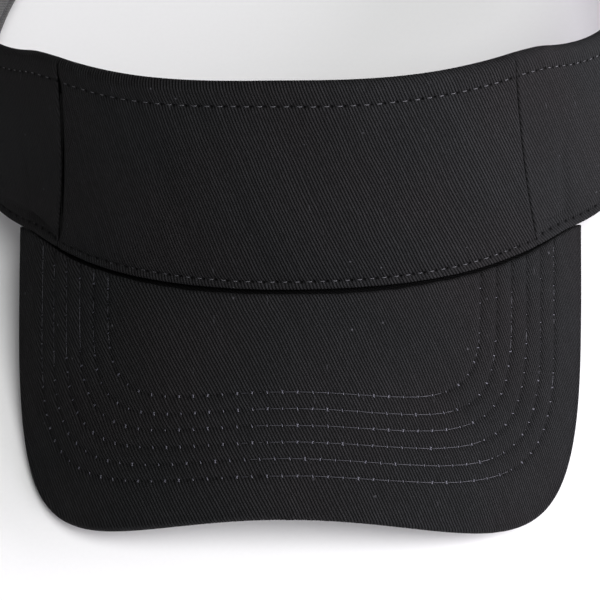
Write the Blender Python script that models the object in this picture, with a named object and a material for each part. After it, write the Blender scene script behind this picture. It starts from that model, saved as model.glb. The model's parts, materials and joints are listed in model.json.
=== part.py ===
"""A three-panel cotton sun visor of the baseball-cap pattern.

The band is a leaning wall that follows a rounded plan. It carries a bent brim at the front and closes
at the back with a cloth strap that runs through a clamp buckle and tucks into the right-hand band.

Cap frame: +X is the right side of the picture a viewer in front sees, -Y is the front, +Z is up, the
origin is on the vertical axis through the centre of the round back half, level with the middle of the
brim's crease. The whole cap then lies as it does on a table, on the brim's corners and the back rim.
"""

import math

import bmesh
import bpy
from mathutils import Matrix, Vector

MM = 0.001

# Plan of the band: a superellipse in front of the X axis, a circle behind it. Beyond the brim's corners
# nothing holds the cloth in, and the wall springs outwards: sharply at the rim, more gently higher up
PLAN_DEPTH = 97.8 * MM
PLAN_WIDTH = 95.9 * MM
PLAN_POWER = 2.17
SPRING_OUT = 3.4 * MM
SPRING_ANGLES = (46.0, 64.0)
SPRING_SPREAD = 0.25 / MM  # degrees by which both of those angles move apart, for each metre of height

# Band, all angles measured round the head from the middle of the front, in degrees
SEAM_ANGLE = 40.1
REAR_ANGLE = 118.0  # from here to the back the band keeps one height and one lean
FRONT_HEIGHT = 66.4 * MM
REAR_HEIGHT = 30.0 * MM
FRONT_LEAN = 10.4
REAR_LEAN = 6.0
LEAN_EASED_AT = 100.0
RIM_EASE = (50.0, 66.0)  # the lower rim leaves the brim's crease and turns level between these
SEAM_GAP = 0.09  # half the gap between two panels
HEM_LENGTH = 12.0 * MM
RIGHT_END = 161.5
LEFT_END = 152.0
LEFT_CUT = 120.0  # the left band's end piece, which travels with the strap, starts here

# Layers of the band, as depths inwards from the outer face
CLOTH = 0.7 * MM
GAP = 0.3 * MM
CORE = (1.0 * MM, 1.9 * MM)
INNER = (2.2 * MM, 2.9 * MM)
LINING = (2.2 * MM, 2.8 * MM)
TAPE = (3.1 * MM, 3.6 * MM)
SWEATBAND = (3.9 * MM, 5.4 * MM)

# Smaller pieces on the band
TAPE_HALF_ANGLE = 3.2
SWEATBAND_END = 116.0
SWEATBAND_TOP = 29.0 * MM
SWEATBAND_DROP = 3.0 * MM  # how far it hangs below the rim in front, over the brim's back edge
LABEL_ANGLES = (124.0, 138.0)
LABEL_HEIGHTS = (4.0 * MM, 16.0 * MM)

# Brim: a sheet bent round a cylinder whose axis points forwards and down
BRIM_RADIUS = 98.2 * MM
BRIM_DROOP = math.radians(31.0)
BRIM_HALF_WIDTH = 90.4 * MM
BRIM_LENGTH = 59.2 * MM
BRIM_SIDE_START = -48.2 * MM
BRIM_POWER = 3.92
BOARD = (1.0 * MM, 3.0 * MM)
UNDER = (3.3 * MM, 4.0 * MM)
LIP_MEETS = (1.85 * MM, 2.15 * MM)
BRIM_COLUMNS, BRIM_ROWS = 30, 12

# Strap and buckle. Buckle pieces are drawn with X along the strap towards the right band, Y down the
# strap's width and Z out of the cap
STRAP_HEIGHTS = (4.5 * MM, 25.5 * MM)
STRAP_START = -137.0
STRAP_END = 118.0
BUCKLE_ANGLE = 170.0
BUCKLE_MIDDLE = 15.0 * MM
PLATE_BACK, PLATE_FRONT = -2.4 * MM, -1.6 * MM
RAIL_FRONT = 3.0 * MM
RAIL_INSIDE, RAIL_OUTSIDE = 11.1 * MM, 12.0 * MM
FRAME_START, PLATE_END, FRAME_END = -9.0 * MM, 5.0 * MM, 10.2 * MM
BAR_AT = (8.8 * MM, 2.2 * MM)  # along the strap, and out from its face
BAR_RADIUS = 0.6 * MM
PIN_AT = (-6.0 * MM, 1.9 * MM)
PIN_RADIUS, HOLE_RADIUS, BARREL_RADIUS = 0.65 * MM, 0.85 * MM, 1.55 * MM
LEVER_HALF_HEIGHT = 10.4 * MM
LEVER_LENGTH = 12.4 * MM
LEVER_THICKNESS = 1.0 * MM
TAB_HALF_HEIGHT = 9.0 * MM
TAB_END = 32.0 * MM
TAB_LAYER = (1.3 * MM, 2.7 * MM)  # out from the strap's face, where it lies on the band

STEP = 3.0  # degrees between the cross-sections of a band piece


def ease(value, start, end):
    """0 before start, 1 after end, and a smooth S between."""
    u = min(max((value - start) / (end - start), 0.0), 1.0)
    return u * u * (3 - 2 * u)


# ---------------------------------------------------------------- band surface

def plan(angle, up=0.0):
    """The point of the plan at an angle and a height, and the outward direction there."""
    a = math.radians(angle)
    s, c = math.sin(a), math.cos(a)
    if c < 0:
        out = Vector((s, -c))
        return out * (PLAN_WIDTH + SPRING_OUT), out
    power = 2 / PLAN_POWER
    point = Vector((math.copysign(PLAN_WIDTH * abs(s) ** power, s), -PLAN_DEPTH * c ** power))
    out = Vector((point.x / PLAN_WIDTH ** 2, point.y / PLAN_DEPTH ** 2)).normalized()
    spread = SPRING_SPREAD * up
    spring = ease(abs(angle), SPRING_ANGLES[0] - spread, SPRING_ANGLES[1] + spread)
    return point + out * SPRING_OUT * spring, out


def crease_height(x, y):
    """Height of the brim's top surface above a point of the plan."""
    arch = math.sqrt(BRIM_RADIUS ** 2 - x * x) - BRIM_RADIUS
    return arch + math.tan(BRIM_DROOP) * (y + PLAN_DEPTH)


def rim(angle):
    """Height of the band's lower rim: on the crease in front, level behind the brim's corners."""
    start, end = RIM_EASE
    angle = abs(angle)
    level = crease_height(*plan(min(angle, start))[0])
    if angle <= start:
        return level
    slope = crease_height(*plan(start)[0]) - crease_height(*plan(start - 1.0)[0])
    u = min(angle, end) - start
    return level + slope * (u - u * u / (2 * (end - start)))


def height(angle):
    """Height of the band along its own wall."""
    return FRONT_HEIGHT + (REAR_HEIGHT - FRONT_HEIGHT) * ease(abs(angle), SEAM_ANGLE, REAR_ANGLE)


def lean(angle):
    """How far the wall leans inwards, in radians."""
    degrees = FRONT_LEAN + (REAR_LEAN - FRONT_LEAN) * ease(abs(angle), SEAM_ANGLE, LEAN_EASED_AT)
    return math.radians(degrees)


def band_point(angle, depth, up):
    """A point of the wall: depth inwards from its outer face, and up along it from the rim."""
    point, out = plan(angle, up)
    point = point - out * (up * math.sin(lean(angle)) + depth)
    return Vector((point.x, point.y, rim(angle) + up * math.cos(lean(angle))))


# ---------------------------------------------------------------- brim surface

def brim_point(s, t, depth=0.0):
    """A point of the brim: s across it, t forwards from the crease's middle, depth below its top."""
    turn = s / BRIM_RADIUS
    top = Vector((
        BRIM_RADIUS * math.sin(turn),
        -PLAN_DEPTH - t * math.cos(BRIM_DROOP),
        BRIM_RADIUS * (math.cos(turn) - 1) - t * math.sin(BRIM_DROOP),
    ))
    up = Vector((
        math.sin(turn) * math.cos(BRIM_DROOP),
        -math.cos(turn) * math.sin(BRIM_DROOP),
        math.cos(turn) * math.cos(BRIM_DROOP),
    )).normalized()
    return top - up * depth


def brim_outline(angle, inset=0.0):
    """The brim's edge in (s, t), from one side at -90 degrees over the front to the other at 90."""

    def edge(a):
        s, c = math.sin(math.radians(a)), math.cos(math.radians(a))
        across = math.copysign(BRIM_HALF_WIDTH * abs(s) ** (2 / BRIM_POWER), s)
        along = BRIM_SIDE_START + (BRIM_LENGTH - BRIM_SIDE_START) * abs(c) ** (2 / BRIM_POWER)
        return Vector((across, along))

    small = 0.01
    step = edge(min(angle + small, 89.999)) - edge(max(angle - small, -89.999))
    return edge(angle) + Vector((step.y, -step.x)).normalized() * inset


def brim_back(s):
    """Where the brim stops, just clear of the band's outer face, found by halving."""
    x = abs(BRIM_RADIUS * math.sin(s / BRIM_RADIUS))
    low, high = 0.0, 80.0
    for _ in range(30):
        middle = (low + high) / 2
        point, out = plan(middle)
        low, high = (middle, high) if point.x + GAP * out.x < x else (low, middle)
    point, out = plan(low)
    return -(point.y + GAP * out.y + PLAN_DEPTH) / math.cos(BRIM_DROOP)


def brim_corner(inset):
    """The outline's angle where it meets the back edge, found by halving."""
    low, high = 60.0, 89.9
    for _ in range(40):
        middle = (low + high) / 2
        s, t = brim_outline(middle, inset)
        low, high = (middle, high) if t > brim_back(s) else (low, middle)
    return low


def evenly(curve, start, end, count):
    """Points at equal lengths along a curve of the (s, t) plane."""
    fine = 300
    points = [curve(start + (end - start) * i / fine) for i in range(fine + 1)]
    lengths = [0.0]
    for a, b in zip(points, points[1:]):
        lengths.append(lengths[-1] + (b - a).length)
    found, i = [], 0
    for k in range(count + 1):
        wanted = lengths[-1] * k / count
        while i < fine - 1 and lengths[i + 1] < wanted:
            i += 1
        share = (wanted - lengths[i]) / (lengths[i + 1] - lengths[i])
        found.append(points[i].lerp(points[i + 1], share))
    return found


def brim_patch(inset):
    """A grid of (s, t) over the brim, rows from the back edge to the front, inset from its outline."""
    turn = 42.0  # where the outline passes from the side edge to the front edge
    corner = brim_corner(inset)
    left = evenly(lambda a: brim_outline(a, inset), -corner, -turn, BRIM_ROWS)
    right = evenly(lambda a: brim_outline(a, inset), corner, turn, BRIM_ROWS)
    front = evenly(lambda a: brim_outline(a, inset), -turn, turn, BRIM_COLUMNS)
    back = evenly(lambda s: Vector((s, brim_back(s))), left[0].x, right[0].x, BRIM_COLUMNS)
    rows = []
    for j in range(BRIM_ROWS + 1):
        v, row = j / BRIM_ROWS, []
        for i in range(BRIM_COLUMNS + 1):
            u = i / BRIM_COLUMNS
            sides = left[j].lerp(right[j], u)
            ends = back[i].lerp(front[i], v)
            corners = back[0].lerp(back[-1], u).lerp(front[0].lerp(front[-1], u), v)
            row.append(sides + ends - corners)
        rows.append(row)
    return rows


# ---------------------------------------------------------------- object helpers

def material(name, colour, roughness, metallic=0.0):
    """A plain Principled material."""
    mat = bpy.data.materials.new(name)
    mat.use_nodes = True
    shader = mat.node_tree.nodes["Principled BSDF"]
    shader.inputs["Base Color"].default_value = (*colour, 1.0)
    shader.inputs["Roughness"].default_value = roughness
    shader.inputs["Metallic"].default_value = metallic
    mat.diffuse_color = (*colour, 1.0)
    return mat


def add_object(name, mesh, parent, finish):
    """Puts a mesh in the scene as a named object with its own material, under a parent."""
    obj = bpy.data.objects.new(name, mesh)
    bpy.context.scene.collection.objects.link(obj)
    obj.parent = parent
    mesh.materials.append(material(name, *finish))
    mesh.shade_smooth()
    mesh.set_sharp_from_angle(angle=math.radians(35))
    return obj


def solid(name, points, faces, parent, finish):
    """An object from points and faces, with every face turned outwards."""
    bm = bmesh.new()
    verts = [bm.verts.new(p) for p in points]
    for face in faces:
        bm.faces.new([verts[i] for i in face])
    bmesh.ops.recalc_face_normals(bm, faces=bm.faces)
    mesh = bpy.data.meshes.new(name)
    bm.to_mesh(mesh)
    bm.free()
    return add_object(name, mesh, parent, finish)


def ring_faces(rings, size):
    """Faces of a tube of equal rings, with both ends closed."""
    faces = [list(range(size)), list(range((rings - 1) * size, rings * size))]
    for r in range(rings - 1):
        for i in range(size):
            j = (i + 1) % size
            faces.append([r * size + i, r * size + j, (r + 1) * size + j, (r + 1) * size + i])
    return faces


def sweep(name, section, start, end, parent, finish):
    """A band piece: a cross-section of (depth, up) points carried round the head."""
    count = max(2, round(abs(end - start) / STEP))
    angles = [start + (end - start) * i / count for i in range(count + 1)]
    sections = [section(a) for a in angles]
    points = [band_point(a, d, h) for a, pairs in zip(angles, sections) for d, h in pairs]
    return solid(name, points, ring_faces(len(angles), len(sections[0])), parent, finish)


def strip(layer, low, high):
    """A cross-section function: one flat layer between two heights, which may depend on the angle."""

    def section(angle):
        bottom = low(angle) if callable(low) else low
        top = high(angle) if callable(high) else high
        return [(layer[0], bottom), (layer[0], top), (layer[1], top), (layer[1], bottom)]

    return section


def hemmed(angle):
    """Cross-section of an outer panel: up the outside, over a rolled top and down inside as a hem."""
    top = height(angle)
    middle, outer = INNER[1] / 2, INNER[1] / 2
    inner = outer - CLOTH
    turns = [math.pi * i / 6 for i in range(7)]
    over = [(middle - outer * math.cos(a), top - outer + outer * math.sin(a)) for a in turns]
    under = [(middle - inner * math.cos(a), top - outer + inner * math.sin(a)) for a in reversed(turns)]
    foot = top - HEM_LENGTH
    return [(0.0, 0.0)] + over + [(INNER[1], foot), (INNER[0], foot)] + under + [(CLOTH, 0.0)]


# ---------------------------------------------------------------- band pieces

BLACK_TWILL = ((0.018, 0.018, 0.020), 0.85)
BLACK_LINING = ((0.022, 0.022, 0.024), 0.9)
WHITE_BUCKRAM = ((0.70, 0.69, 0.66), 0.9)
WHITE_PLASTIC = ((0.75, 0.75, 0.75), 0.5)
BLACK_TERRY = ((0.020, 0.020, 0.022), 0.95)
BLACK_SATIN = ((0.025, 0.025, 0.028), 0.5)
BRUSHED_METAL = ((0.42, 0.42, 0.44), 0.35, 1.0)


def make_panels(cap):
    """The outer panels with their hems, and what lies behind them."""
    seam_in, seam_out = SEAM_ANGLE - SEAM_GAP, SEAM_ANGLE + SEAM_GAP
    sweep("front_panel", hemmed, -seam_in, seam_in, cap, BLACK_TWILL)
    sweep("right_side_band", hemmed, seam_out, RIGHT_END, cap, BLACK_TWILL)
    sweep("left_side_band", hemmed, -seam_out, -(LEFT_CUT - SEAM_GAP), cap, BLACK_TWILL)
    sweep("left_band_end", hemmed, -(LEFT_CUT + SEAM_GAP), -LEFT_END, cap, BLACK_TWILL)

    def below_hem(angle):
        return height(angle) - HEM_LENGTH - GAP

    def core_top(angle):
        return height(angle) - INNER[1] / 2

    lining = strip(LINING, 0.0, below_hem)
    margin = 1.0
    sweep("front_stiffener", strip(CORE, GAP, core_top), -seam_in + margin, seam_in - margin, cap,
          WHITE_BUCKRAM)
    sweep("front_lining", lining, -seam_in, seam_in, cap, BLACK_LINING)
    sweep("right_side_lining", lining, seam_out, RIGHT_END - margin, cap, BLACK_LINING)
    # The left lining reaches on under the travelling end piece, so that no gap opens there
    sweep("left_side_lining", lining, -seam_out, -(LEFT_END - 4 * margin), cap, BLACK_LINING)


def make_tapes_and_sweatband(cap):
    """Seam tapes, the sweatband and the label, on the inside of the band."""

    def tape_top(angle):
        return height(angle) - INNER[1]

    for side, name in ((1, "right_seam_tape"), (-1, "left_seam_tape")):
        middle = side * SEAM_ANGLE
        sweep(name, strip(TAPE, GAP, tape_top), middle - TAPE_HALF_ANGLE, middle + TAPE_HALF_ANGLE,
              cap, BLACK_SATIN)

    def sweatband_section(angle):
        low = GAP - (SWEATBAND_DROP + GAP) * (1 - ease(abs(angle), 30.0, 60.0))
        radius = (SWEATBAND[1] - SWEATBAND[0]) / 2
        middle = (SWEATBAND[0] + SWEATBAND[1]) / 2
        turns = [math.pi * i / 4 for i in range(5)]
        top = [(middle - radius * math.cos(a), SWEATBAND_TOP - radius + radius * math.sin(a))
               for a in turns]
        foot = [(middle + radius * math.cos(a), low + radius - radius * math.sin(a)) for a in turns]
        return top + foot

    sweep("sweatband", sweatband_section, -SWEATBAND_END, SWEATBAND_END, cap, BLACK_TERRY)
    sweep("care_label", strip(TAPE, *LABEL_HEIGHTS), *LABEL_ANGLES, cap, BLACK_SATIN)


# ---------------------------------------------------------------- brim pieces

def border(rows):
    """The left, front and right edges of a grid, as one run of (row, column) pairs."""
    last_row, last = len(rows) - 1, len(rows[0]) - 1
    run = [(j, 0) for j in range(last_row + 1)]
    run += [(last_row, i) for i in range(1, last + 1)]
    return run + [(j, last) for j in range(last_row - 1, -1, -1)]


def grid_faces(base, rows, columns):
    """Quads between the points of a grid that starts at index base."""
    faces = []
    for j in range(rows):
        for i in range(columns):
            a = base + j * (columns + 1) + i
            faces.append([a, a + 1, a + columns + 2, a + columns + 1])
    return faces


def wall_faces(first, second):
    """Quads between two runs of indices of equal length."""
    pairs = list(zip(first, second))
    return [[a, c, d, b] for (a, b), (c, d) in zip(pairs, pairs[1:])]


def brim_grid(inset, depth):
    """The points of one brim layer."""
    return [brim_point(s, t, depth) for row in brim_patch(inset) for s, t in row]


def make_brim_board(cap):
    """The flexible board: a slab, smaller than its covers all round."""
    top, bottom = brim_grid(CLOTH + GAP, BOARD[0]), brim_grid(CLOTH + GAP, BOARD[1])
    count, width = len(top), BRIM_COLUMNS + 1
    run = [j * width + i for j, i in border(brim_patch(0.0))]
    run += [i for i in range(BRIM_COLUMNS - 1, -1, -1)]
    faces = grid_faces(0, BRIM_ROWS, BRIM_COLUMNS) + grid_faces(count, BRIM_ROWS, BRIM_COLUMNS)
    faces += wall_faces(run, [i + count for i in run])
    solid("brim_board", top + bottom, faces, cap, WHITE_PLASTIC)


def make_brim_cover(name, outside, inside, lip, cap):
    """A cloth cover: a skin over one face of the board, with a lip turned over the board's edge."""
    rows = brim_patch(0.0)
    width = BRIM_COLUMNS + 1
    run = border(rows)
    skin, back = brim_grid(0.0, outside), brim_grid(CLOTH, inside)
    inner = brim_patch(CLOTH)
    lip_out = [brim_point(*rows[j][i], lip) for j, i in run]
    lip_in = [brim_point(*inner[j][i], lip) for j, i in run]
    count, edge = len(skin), len(run)
    outer_run = [j * width + i for j, i in run]
    inner_run = [i + count for i in outer_run]
    lip_out_run = list(range(2 * count, 2 * count + edge))
    lip_in_run = list(range(2 * count + edge, 2 * count + 2 * edge))
    faces = grid_faces(0, BRIM_ROWS, BRIM_COLUMNS) + grid_faces(count, BRIM_ROWS, BRIM_COLUMNS)
    faces += wall_faces(outer_run, lip_out_run) + wall_faces(lip_out_run, lip_in_run)
    faces += wall_faces(lip_in_run, inner_run)
    faces += wall_faces(list(range(width)), list(range(count, count + width)))
    for end in (0, -1):
        faces.append([outer_run[end], lip_out_run[end], lip_in_run[end], inner_run[end]])
    solid(name, skin + back + lip_out + lip_in, faces, cap, BLACK_TWILL)


def make_brim(cap):
    """The board between its two covers."""
    make_brim_board(cap)
    make_brim_cover("brim_top_cover", 0.0, CLOTH, LIP_MEETS[0], cap)
    make_brim_cover("brim_under_cover", UNDER[1], UNDER[0], LIP_MEETS[1], cap)


# ---------------------------------------------------------------- closure

def box(name, low, high, parent, finish):
    """A box between two corners."""
    points = [(x, y, z) for x in (low[0], high[0]) for y in (low[1], high[1]) for z in (low[2], high[2])]
    faces = [[0, 1, 3, 2], [4, 6, 7, 5], [0, 4, 5, 1], [2, 3, 7, 6], [0, 2, 6, 4], [1, 5, 7, 3]]
    return solid(name, points, faces, parent, finish)


def rod(name, middle, radius, half_length, parent, finish, sides=24):
    """A round rod along Y."""
    turns = [2 * math.pi * i / sides for i in range(sides)]
    points = [(middle[0] + radius * math.cos(a), y, middle[1] + radius * math.sin(a))
              for y in (-half_length, half_length) for a in turns]
    return solid(name, points, ring_faces(2, sides), parent, finish)


def combine(target, tool, operation):
    """Adds the tool to the target or cuts it away, and leaves the tool as a hidden guide."""
    cut = target.modifiers.new(f"{operation.lower()}_{tool.name}", "BOOLEAN")
    cut.operation, cut.solver, cut.object = operation, "EXACT", tool
    tool.hide_render, tool.display_type = True, "WIRE"


def bevel(target, width):
    """Rounds the sharp edges of a metal piece."""
    mod = target.modifiers.new("soft_edges", "BEVEL")
    mod.width, mod.segments, mod.limit_method = width, 2, "ANGLE"
    mod.angle_limit = math.radians(40)


def strap_local(along, out):
    """The buckle's (x, z) of a point on the strap's curve, out from the strap's outer face."""
    radius = PLAN_WIDTH + SPRING_OUT - CORE[0] - BUCKLE_MIDDLE * math.sin(math.radians(REAR_LEAN))
    turn = along / radius
    return (radius + out) * math.sin(turn), (radius + out) * math.cos(turn) - radius


def make_buckle_frame(seat):
    """A channel of sheet metal: a plate behind the strap, two rails, and a bar for the cloth tab."""
    frame = box("buckle_frame", (FRAME_START, -RAIL_OUTSIDE, PLATE_BACK),
                (PLATE_END, RAIL_OUTSIDE, PLATE_FRONT), seat, BRUSHED_METAL)
    for side, word in ((1, "upper"), (-1, "lower")):
        low, high = sorted((side * RAIL_INSIDE, side * RAIL_OUTSIDE))
        rail = box(f"guide_{word}_rail", (FRAME_START, low, PLATE_BACK), (FRAME_END, high, RAIL_FRONT),
                   seat, BRUSHED_METAL)
        combine(frame, rail, "UNION")
    bar = rod("guide_bar", strap_local(*BAR_AT), BAR_RADIUS, (RAIL_INSIDE + RAIL_OUTSIDE) / 2, seat,
              BRUSHED_METAL)
    combine(frame, bar, "UNION")
    hole = rod("guide_pin_hole", PIN_AT, HOLE_RADIUS, RAIL_OUTSIDE + MM, seat, BRUSHED_METAL)
    combine(frame, hole, "DIFFERENCE")
    bevel(frame, 0.15 * MM)
    rod("buckle_pin", PIN_AT, PIN_RADIUS, RAIL_OUTSIDE, seat, BRUSHED_METAL)


def make_buckle_lever(seat):
    """The clamp lever: a barrel round the pin and a plate that lies over the strap when closed."""
    hinge = bpy.data.objects.new("lever_hinge", None)
    bpy.context.scene.collection.objects.link(hinge)
    hinge.parent = seat
    hinge.location = (PIN_AT[0], 0.0, PIN_AT[1])
    # Profile round the pin: the barrel from the plate's underside the long way round to its top
    under = BARREL_RADIUS - LEVER_THICKNESS
    start = math.asin(under / BARREL_RADIUS)
    turns = [start - (start + 1.5 * math.pi) * i / 20 for i in range(21)]
    outline = [(BARREL_RADIUS * math.cos(a), BARREL_RADIUS * math.sin(a)) for a in turns]
    tip = LEVER_THICKNESS / 2
    nose = [math.pi / 2 - math.pi * i / 6 for i in range(7)]
    lift = 0.6 * MM  # the finger end is bent a little outwards
    outline.append((LEVER_LENGTH - 4 * MM, BARREL_RADIUS))
    outline += [(LEVER_LENGTH - tip + tip * math.cos(a), under + tip + lift + tip * math.sin(a))
                for a in nose]
    outline.append((LEVER_LENGTH - 4 * MM, under))
    size = len(outline)
    points = [(x, y, z) for y in (-LEVER_HALF_HEIGHT, LEVER_HALF_HEIGHT) for x, z in outline]
    lever = solid("buckle_lever", points, ring_faces(2, size), hinge, BRUSHED_METAL)
    hole = rod("guide_lever_hole", (0.0, 0.0), HOLE_RADIUS, LEVER_HALF_HEIGHT + MM, hinge,
               BRUSHED_METAL)
    combine(lever, hole, "DIFFERENCE")


def make_buckle_tab(seat):
    """A doubled strip of cloth round the frame's bar, lying on the outside of the right band's end."""
    along, out = BAR_AT
    thick = TAB_LAYER[1] - TAB_LAYER[0]
    ring = BAR_RADIUS + GAP
    outer = ring + CLOTH
    middle = (TAB_LAYER[0] + TAB_LAYER[1]) / 2
    # The loop bulges round the bar and narrows to the doubled strip behind it
    turns = [math.radians(60 + 240 * i / 12) for i in range(13)]
    outline = [(along + outer * math.cos(a), out + outer * math.sin(a)) for a in turns]
    merge = along + 2.2 * outer
    lengths = [merge + (TAB_END - merge) * i / 8 for i in range(9)]
    outline += [(x, middle - thick / 2) for x in lengths]
    outline += [(x, middle + thick / 2) for x in reversed(lengths)]
    size = len(outline)
    points = []
    for y in (-TAB_HALF_HEIGHT, TAB_HALF_HEIGHT):
        for x, z in outline:
            lx, lz = strap_local(x, z)
            points.append((lx, y, lz))
    tab = solid("buckle_tab", points, ring_faces(2, size), seat, BLACK_TWILL)
    eye = rod("guide_tab_eye", strap_local(along, out), ring, TAB_HALF_HEIGHT + MM, seat, BLACK_TWILL)
    combine(tab, eye, "DIFFERENCE")


def make_closure(cap):
    """The strap, sewn into the left band's end piece, and the buckle on the right band's end."""
    sweep("closure_strap", strip(CORE, *STRAP_HEIGHTS), STRAP_START, STRAP_END - 360.0, cap,
          BLACK_TWILL)
    middle = band_point(BUCKLE_ANGLE, CORE[0], BUCKLE_MIDDLE)
    out = plan(BUCKLE_ANGLE)[1]
    tilt = math.radians(REAR_LEAN)
    outward = Vector((out.x * math.cos(tilt), out.y * math.cos(tilt), math.sin(tilt)))
    downward = Vector((out.x * math.sin(tilt), out.y * math.sin(tilt), -math.cos(tilt)))
    along = downward.cross(outward)
    seat = bpy.data.objects.new("buckle_seat", None)
    bpy.context.scene.collection.objects.link(seat)
    seat.parent = cap
    turn = Matrix((along, downward, outward)).transposed()
    seat.matrix_local = Matrix.Translation(middle) @ turn.to_4x4()
    make_buckle_frame(seat)
    make_buckle_lever(seat)
    make_buckle_tab(seat)


# ---------------------------------------------------------------- assembly

def rest_tilt():
    """How far the cap tips back when it lies on the brim's corners and the back rim."""
    back = band_point(RIGHT_END, 0.0, 0.0)
    edge = [brim_point(*brim_outline(a / 2), UNDER[1]) for a in range(-170, 171)]
    return max(math.atan2(back.z - p.z, back.y - p.y) for p in edge)


def settle(cap):
    """Tips the cap onto its table, with the origin under the middle of its box."""
    cap.rotation_euler = (-rest_tilt(), 0.0, 0.0)
    bpy.context.view_layer.update()
    corners = [obj.matrix_world @ v.co for obj in bpy.data.objects
               if obj.type == "MESH" and not obj.hide_render for v in obj.data.vertices]
    low = [min(p[k] for p in corners) for k in range(3)]
    high = [max(p[k] for p in corners) for k in range(3)]
    cap.location = (-(low[0] + high[0]) / 2, -(low[1] + high[1]) / 2, -low[2])
    bpy.context.view_layer.update()


def main():
    for obj in list(bpy.data.objects):
        bpy.data.objects.remove(obj)
    cap = bpy.data.objects.new("cap", None)
    bpy.context.scene.collection.objects.link(cap)
    make_panels(cap)
    make_tapes_and_sweatband(cap)
    make_brim(cap)
    make_closure(cap)
    settle(cap)


main()
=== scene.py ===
"""The looks of a three-panel cotton sun visor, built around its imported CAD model.

Shapes are worked out in millimetres in the cap's own frame (X right, Y back, Z up, as in the CAD source),
and are turned into the model's frame in metres when a mesh is made.
"""

import json
import math
from functools import partialmethod

import bmesh
import bpy
import numpy as np
from mathutils import Matrix, Vector
from mathutils.kdtree import KDTree


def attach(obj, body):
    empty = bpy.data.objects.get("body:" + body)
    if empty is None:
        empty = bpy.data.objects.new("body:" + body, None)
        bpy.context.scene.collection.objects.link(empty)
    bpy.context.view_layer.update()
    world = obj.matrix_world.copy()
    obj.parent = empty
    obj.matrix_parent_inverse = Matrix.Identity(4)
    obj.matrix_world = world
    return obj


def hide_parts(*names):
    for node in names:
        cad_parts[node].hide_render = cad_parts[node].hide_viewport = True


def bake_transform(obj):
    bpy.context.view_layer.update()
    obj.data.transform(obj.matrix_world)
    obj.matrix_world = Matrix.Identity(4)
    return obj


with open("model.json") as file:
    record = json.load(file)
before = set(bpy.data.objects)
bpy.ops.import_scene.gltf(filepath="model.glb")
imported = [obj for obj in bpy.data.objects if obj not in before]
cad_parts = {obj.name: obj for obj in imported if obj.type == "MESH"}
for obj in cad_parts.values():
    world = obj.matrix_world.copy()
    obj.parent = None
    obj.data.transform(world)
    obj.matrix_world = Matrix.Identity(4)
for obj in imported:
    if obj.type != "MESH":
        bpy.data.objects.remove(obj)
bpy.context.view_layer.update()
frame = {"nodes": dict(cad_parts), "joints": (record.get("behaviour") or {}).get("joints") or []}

# The strap turns about the cap's own vertical axis, so its joint gives the cap's frame
SLIDE = next(j for j in frame["joints"] if j["name"] == "strap_slide")
CAP_ORIGIN = np.array(SLIDE["pos_m"])
CAP_UP = -np.array(SLIDE["axis"])
CAP_AXES = np.array([(1.0, 0.0, 0.0), np.cross(CAP_UP, (1.0, 0.0, 0.0)), CAP_UP])

# Driving dimensions of the CAD model, in millimetres and degrees
PLAN_DEPTH, PLAN_WIDTH, PLAN_POWER = 97.8, 95.9, 2.17
SPRING_OUT, SPRING_ANGLES, SPRING_SPREAD = 3.4, (46.0, 64.0), 0.25
SEAM_ANGLE, REAR_ANGLE = 40.1, 118.0
FRONT_HEIGHT, REAR_HEIGHT = 66.4, 30.0
FRONT_LEAN, REAR_LEAN, LEAN_EASED_AT = 10.4, 6.0, 100.0
RIM_EASE = (50.0, 66.0)
HEM_LENGTH = 12.0
RIGHT_END, LEFT_END = 161.5, 152.0
CLOTH, GAP = 0.7, 0.3
HEM_INNER = 2.9
LINING, TAPE, SWEATBAND, STRAP = (2.2, 2.8), (3.1, 3.6), (3.9, 5.4), (1.0, 1.9)
TAPE_HALF_ANGLE = 3.2
SWEATBAND_END, SWEATBAND_TOP, SWEATBAND_DROP = 116.0, 29.0, 3.0
LABEL_ANGLES, LABEL_HEIGHTS = (124.0, 138.0), (4.0, 16.0)
BRIM_RADIUS, BRIM_DROOP = 98.2, math.radians(31.0)
BRIM_HALF_WIDTH, BRIM_LENGTH, BRIM_SIDE_START, BRIM_POWER = 90.4, 59.2, -48.2, 3.92
BRIM_THICK = 4.0
STRAP_HEIGHTS, STRAP_START, STRAP_END = (4.5, 25.5), -137.0, 118.0
BUCKLE_ANGLE, BUCKLE_MIDDLE = 170.0, 15.0
BAR_AT, BAR_RADIUS = (8.8, 2.2), 0.6
TAB_HALF_HEIGHT, TAB_END, TAB_LAYER = 9.0, 32.0, (1.3, 2.7)

# Sewing, all in millimetres
TOP_ROW, BOTTOM_ROW = 6.2, 2.7  # below the fold, above the rim
BAND_SPACING, BRIM_SPACING = 3.2, 3.9
BRIM_ROWS = [  # half width, reach forwards, squareness: from the inner row to the outer one
    (52.0, 26.3, 3.9), (57.0, 30.6, 3.8), (62.0, 34.9, 3.5),
    (67.2, 39.2, 3.4), (72.3, 43.5, 3.3), (77.6, 47.9, 3.1),
]
BRIM_ROW_START = -10.0
THREAD, THREAD_SIDES = 0.15, 6


# ---------------------------------------------------------------- small helpers

def ease(value, start, end):
    """0 before start, 1 after end, and a smooth S between."""
    u = np.clip((np.asarray(value, float) - start) / (end - start), 0, 1)
    return u * u * (3 - 2 * u)


def unit(v):
    """Vectors along the last axis, made one long."""
    return v / np.maximum(np.linalg.norm(v, axis=-1, keepdims=True), 1e-12)


def roll(distance, radius):
    """How far a rounded edge has dropped, at a distance from its end."""
    d = np.clip(radius - np.asarray(distance, float), 0, radius)
    return radius - np.sqrt(radius ** 2 - d ** 2)


def lengths_along(points, axis=0):
    """The length covered at each point along lines of points, which run along an axis."""
    steps = np.linalg.norm(np.diff(points, axis=axis), axis=-1)
    return np.insert(np.cumsum(steps, axis=axis), 0, 0.0, axis=axis)


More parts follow.
